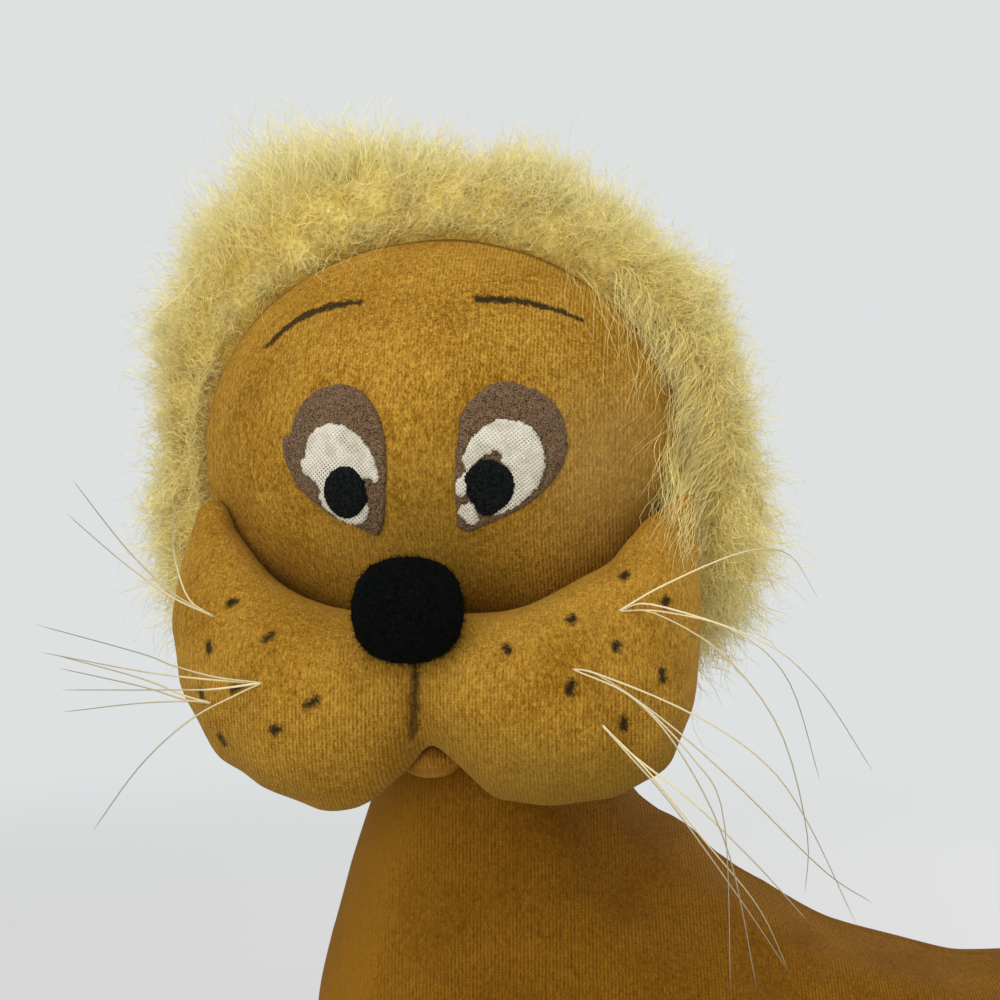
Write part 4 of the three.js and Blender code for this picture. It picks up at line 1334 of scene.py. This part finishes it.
# The outlines of the layers in the picture, as columns and rows of pixels
patch_right_pixels = [
    (282, 441.1), (284.9, 435.4), (290.7, 434.3), (291.8, 425.1), (294.7, 415.9), (301, 404.4),
    (310.2, 394.7), (319.3, 388.9), (329.7, 385.5), (341.1, 384.3), (350.3, 386.6), (359.5, 390.7),
    (367.5, 398.7), (374.4, 409), (379, 419.3), (383, 434.3), (384.8, 450.3), (385.9, 467.5),
    (385.3, 484.8), (384.8, 502), (383.6, 519.2), (380.7, 530.7), (376.7, 535.8), (369.8, 534.1),
    (361.8, 529.5), (350.3, 524.9), (334.3, 518), (319.3, 506.6), (307.9, 497.4), (296.4, 485.9),
    (290.7, 473.3), (286.1, 464.1), (283.2, 452.6),
]
white_right_pixels = [
    (300.1, 461.8), (304.4, 457.2), (305.6, 448), (307.9, 437.7), (313.6, 430.8), (321.6, 425.1),
    (332, 423.9), (341.1, 425.1), (350.3, 429.7), (359.5, 437.7), (366.4, 446.9), (372.1, 456.1),
    (375.6, 466.4), (378.4, 476.7), (376.7, 481.9), (373.3, 483), (371, 479), (364.1, 479.6),
    (354.9, 484.8), (354.9, 498.5), (365.8, 503.7), (367.5, 512.3), (364.1, 522.6), (356.1, 525.5),
    (348, 523.8), (338.9, 520.3), (327.4, 511.2), (319.3, 500.8), (318.2, 495.1), (320.5, 491.6),
    (317.1, 485.9), (312.5, 480.2), (307.9, 476.7), (303.3, 473.3),
]
pupil_right_pixels = [
    (322.8, 490.5), (324.5, 481.3), (328.5, 473.3), (335.4, 468.1), (343.4, 466.4), (351.5, 468.1),
    (358.4, 474.4), (361.8, 481.3), (363.5, 490.5), (365.2, 499.7), (364.1, 507.7), (359.5, 513.4),
    (352.6, 518), (345.7, 519.2), (337.7, 516.9), (330.8, 511.2), (325.1, 502),
]
patch_left_pixels = [
    (455.3, 461.8), (455.9, 450.3), (457.6, 438.9), (459.3, 427.4), (459.3, 418.2), (462.2, 412.5),
    (468, 403.3), (476, 395.2), (485.2, 387.8), (494.3, 383.2), (508.1, 381.5), (518.4, 383.2),
    (527.6, 387.2), (535.7, 388.9), (542.5, 393.5), (550.6, 399.8), (558.6, 409), (564.3, 420.5),
    (567.2, 434.3), (567.8, 444.6), (565.5, 457.2), (560.9, 469.8), (552.9, 481.3), (543.7, 491.6),
    (534.5, 499.7), (524.2, 506.6), (513.9, 512.3), (502.4, 518), (490.9, 522.6), (479.4, 527.8),
    (469.1, 531.8), (462.2, 529.5), (458.2, 527.2), (457, 513.4), (455.3, 496.2), (454.8, 479),
]
white_left_pixels = [
    (462.8, 458.4), (465.7, 450.3), (471.4, 438.9), (479.4, 430.8), (488.6, 423.9), (497.8, 419.9),
    (509.3, 419.3), (520.7, 421.6), (529.9, 426.2), (538, 435.4), (543.1, 445.7), (545.4, 457.2),
    (544.3, 468.7), (541.4, 479), (536.8, 488.2), (529.9, 495.1), (524.2, 500.8), (516.1, 506.6),
    (508.1, 511.2), (501.2, 514.6), (494.3, 514.6), (496.6, 503.1), (504.7, 484.8), (509.3, 472.1),
    (501.2, 461.8), (502.4, 455.5), (495.5, 450.9), (490.9, 454.3), (485.2, 454.9), (478.9, 461.2),
    (473.7, 469.8), (474.8, 484.8), (468, 491.6), (464.5, 497.4), (457.6, 496.2), (455.9, 491.6),
    (456.5, 481.3), (465.7, 472.1), (463.9, 465.2),
]
torn_left_pixels = [
    (457.6, 512.3), (461.1, 506.6), (469.1, 503.1), (474.8, 506.6), (478.3, 513.4), (478.9, 520.3),
    (473.7, 524.9), (468, 524.9), (463.4, 519.2),
]
pupil_left_pixels = [
    (464.5, 477.9), (468, 471), (474.8, 464.1), (481.7, 460.1), (490.9, 460.1), (498.9, 463),
    (507, 468.7), (512.7, 475.6), (515, 483.6), (514.4, 491.6), (511.6, 499.7), (505.8, 506.6),
    (500.1, 511.2), (493.2, 515.2), (485.2, 516.3), (479.4, 513.4), (476, 507.7), (470.2, 500.8),
    (467.4, 493.9), (466.2, 484.8),
]
patch_top = felt_thick + glue_gap
white_top = patch_top + white_thick + glue_gap
# Each kind of layer has its lower and upper face over the velour, how far its edge frays, and its cloth
patch = (0, patch_top, 0.00012, "brown_felt", brown_felt)
white = (patch_top, white_top, 0.00034, "white_cloth", white_cloth)
pupil = (patch_top, white_top + felt_thick, 0.00015, "black_felt", black_felt)
eye_layers = [
    ("eye_patch_right", "felt", patch_right_pixels, patch),
    ("eye_patch_left", "felt", patch_left_pixels, patch),
    ("eye_white_right", "cloth", white_right_pixels, white),
    ("eye_white_left", "cloth", white_left_pixels, white),
    ("eye_white_left", "torn", torn_left_pixels, white),
    ("eye_pupil_right", "felt", pupil_right_pixels, pupil),
    ("eye_pupil_left", "felt", pupil_left_pixels, pupil),
]
for number, (node, kind, pixels, (low, high, fray, slot, cloth)) in enumerate(eye_layers):
    outline = traced(pixels, low + 0.6 * (high - low))
    piece = layer(f"{node}_{kind}", outline, low, high - low, fray, seed=30 + 2 * number)
    sewn(piece, slot, cloth, node)


# Whiskers
# Stiff bristles in bundles of three or four, knotted behind the velour and drawn out through it. They
# fan out and droop towards their tips, and no two bend alike.

bristle_thick = 0.00068
bristle_steps = 22
bristle_sunk = 0.0003  # how far behind the velour a bristle starts
bristle_bow = 0.003  # how far a bristle bows out half way along
# Each bundle has the pixel of its root in the picture, and for each bristle the pixels that it passes
# and how far its tip leans back, in metres. Past the picture's edge the bristles run on as they began.
bristles = {
    "left_upper": ((619, 611), [
        ([(664, 585), (740, 553), (788, 554), (819, 600)], 0.003),
        ([(654, 605), (759, 640), (817, 687), (874, 773)], 0.009),
        ([(664, 612), (734, 631), (788, 680), (821, 784)], 0.013),
        ([(657, 614), (724, 655), (780, 730), (807, 832), (805, 895)], 0.006),
    ]),
    "left_middle": ((572, 669), [
        ([(600, 675), (686, 711), (759, 758), (804, 816), (858, 928)], -0.016),
        ([(600, 676), (667, 723), (737, 785), (823, 870), (874, 904)], -0.011),
        ([(632, 697), (693, 758), (724, 819), (731, 1000)], -0.028),
        ([(630, 696), (680, 752), (728, 851), (759, 1000)], -0.022),
    ]),
    "left_lower": ((602, 725), [
        ([(629, 752), (693, 803), (756, 864), (812, 926)], 0.008),
        ([(626, 752), (673, 806), (744, 905), (790, 974)], 0.002),
        ([(648, 771), (705, 841), (759, 908), (790, 974)], 0.005),
    ]),
    "right_upper": ((215, 617), [
        ([(190, 600), (177, 567), (173, 538), (178, 500)], -0.009),
        ([(172, 597), (140, 575), (112, 553), (66, 513)], -0.008),
        ([(174, 594), (140, 563), (116, 536), (72, 479)], -0.002),
    ]),
    "right_middle": ((262, 683), [
        ([(216, 677), (172, 665), (140, 653), (34, 624)], -0.008),
        ([(205, 679), (140, 671), (40, 652)], -0.003),
        ([(216, 689), (179, 690), (60, 690)], -0.014),
        ([(238, 694), (190, 720), (140, 766), (92, 832)], -0.011),
    ]),
    "right_lower": ((211, 703), [
        ([(183, 695), (140, 678), (52, 654)], -0.006),
        ([(183, 699), (140, 686), (58, 668)], -0.002),
        ([(194, 701), (140, 703), (62, 712)], -0.01),
    ]),
}

bristle_fixed = {"Roughness": 0.42, "Specular IOR Level": 0.45}
bristle, bristle_shader, bristle_place = new_finish("bristle", bristle_fixed)
bristle_lane, bristle_up = strand_map(bristle_place)
bristle_colour = bristle_up.between(0.25, 0.95).tint(paint(240, 222, 170), paint(160, 148, 118))
bristle_colour.dimmed(chance(bristle_lane) * 0.35 + 0.8).into(bristle_shader, "Base Color")

bristle_rng = np.random.default_rng(9)
for bundle, (root, strands) in bristles.items():
    start = seen(muzzle_tree, *root)
    middles = []
    for pixels, back in strands:
        lengths = np.array([math.dist(root, pixel) for pixel in pixels])
        bends = [np.array(start + Vector((0, bristle_sunk, 0)))]
        for (column, row), share in zip(pixels, lengths / lengths[-1]):
            depth = start.y - viewpoint.y - bristle_bow * math.sin(math.pi * share) + back * share**1.2
            bends.append(np.array(viewpoint + sight(column, row) * depth))
        middles.append(smoothed(np.array(bends), bristle_steps))
    middles = np.array(middles)
    sides, others = square_to(middles, bristle_rng)
    along = np.linspace(0, 1, bristle_steps)[None]
    radius = np.repeat(bristle_thick / 2 * (1 - 0.68 * along**1.2), len(middles), axis=0)
    lanes = bristle_rng.integers(0, tone_lanes, len(middles))
    whiskers = strand_piece(f"whiskers_{bundle}_bristle", middles, sides, others, radius, lanes)
    sewn(whiskers, "bristle", bristle, f"whiskers_{bundle}")


# Studio
# A pale floor that fades into the pale room, three large soft lamps, and a camera level with the
# nose, looking square at the left flank.

camera_data = bpy.data.cameras.new("camera")
camera = shown("camera", camera_data)
camera.location = viewpoint
camera.rotation_euler = (math.radians(90), 0, 0)
camera_data.sensor_fit = "HORIZONTAL"
camera_data.angle = 2 * math.atan(picture_middle / picture_reach)
camera_data.clip_start = 0.01
bpy.context.scene.camera = camera

room_colour = paint(222, 225, 225)
floor_half = 6.0
floor_corners = floor_half * np.array([(-1, -1, 0), (1, -1, 0), (1, 1, 0), (-1, 1, 0)])
floor = new_skin("floor", floor_corners, [(0, 1, 2, 3)])
floor.location.z = -0.0002  # just under the toy, whose lowest points are at 0
floor_fixed = {"Base Color": paint(224, 222, 218), "Roughness": 0.8, "Specular IOR Level": 0.1}
floor_material, floor_shader, floor_place = new_finish("floor", floor_fixed)
away = floor_place.distance((0, 0, 0)).between(0.35, 1.1)
floor_seen = floor_place.node("ShaderNodeLightPath", out="Is Camera Ray")
glow = floor_place.node("ShaderNodeEmission", {}, {"Color": room_colour, "Strength": 1.0})
lit_floor = Shade(floor_place.tree, floor_shader.outputs[0])
surface = floor_place.node("ShaderNodeMixShader", {}, {0: away * floor_seen, 1: lit_floor, 2: glow})
surface.into(floor_place.tree.nodes["Material Output"], "Surface")
floor.data.materials.append(floor_material)

world = bpy.data.worlds.new("room")
bpy.context.scene.world = world
world.use_nodes = True
world_start = Shade(world.node_tree)
room_seen = world_start.node("ShaderNodeLightPath", out="Is Camera Ray")
room_light = room_seen.tint((0.9, 0.93, 1.0, 1), room_colour)
world_back = world.node_tree.nodes["Background"]
room_light.into(world_back, "Color")
(room_seen * 0.38 + 0.62).into(world_back, "Strength")

lit_place = Vector((-0.05, 0, 0.18))
# Each lamp has its place, its width in metres and its power in watts
for name, place, width, power in [
    ("over", (-0.12, -0.55, 1.15), 0.8, 4.3),
    ("front", (-0.55, -1.4, 0.42), 1.0, 9.0),
    ("back", (0.8, 0.7, 0.9), 0.8, 6.5),
]:
    lamp_data = bpy.data.lights.new(name, "AREA")
    lamp_data.size = width
    lamp_data.energy = power
    lamp = shown(name, lamp_data)
    lamp.location = place
    lamp.rotation_euler = (lit_place - Vector(place)).to_track_quat("-Z", "Y").to_euler()

bpy.context.scene.view_settings.view_transform = "Standard"
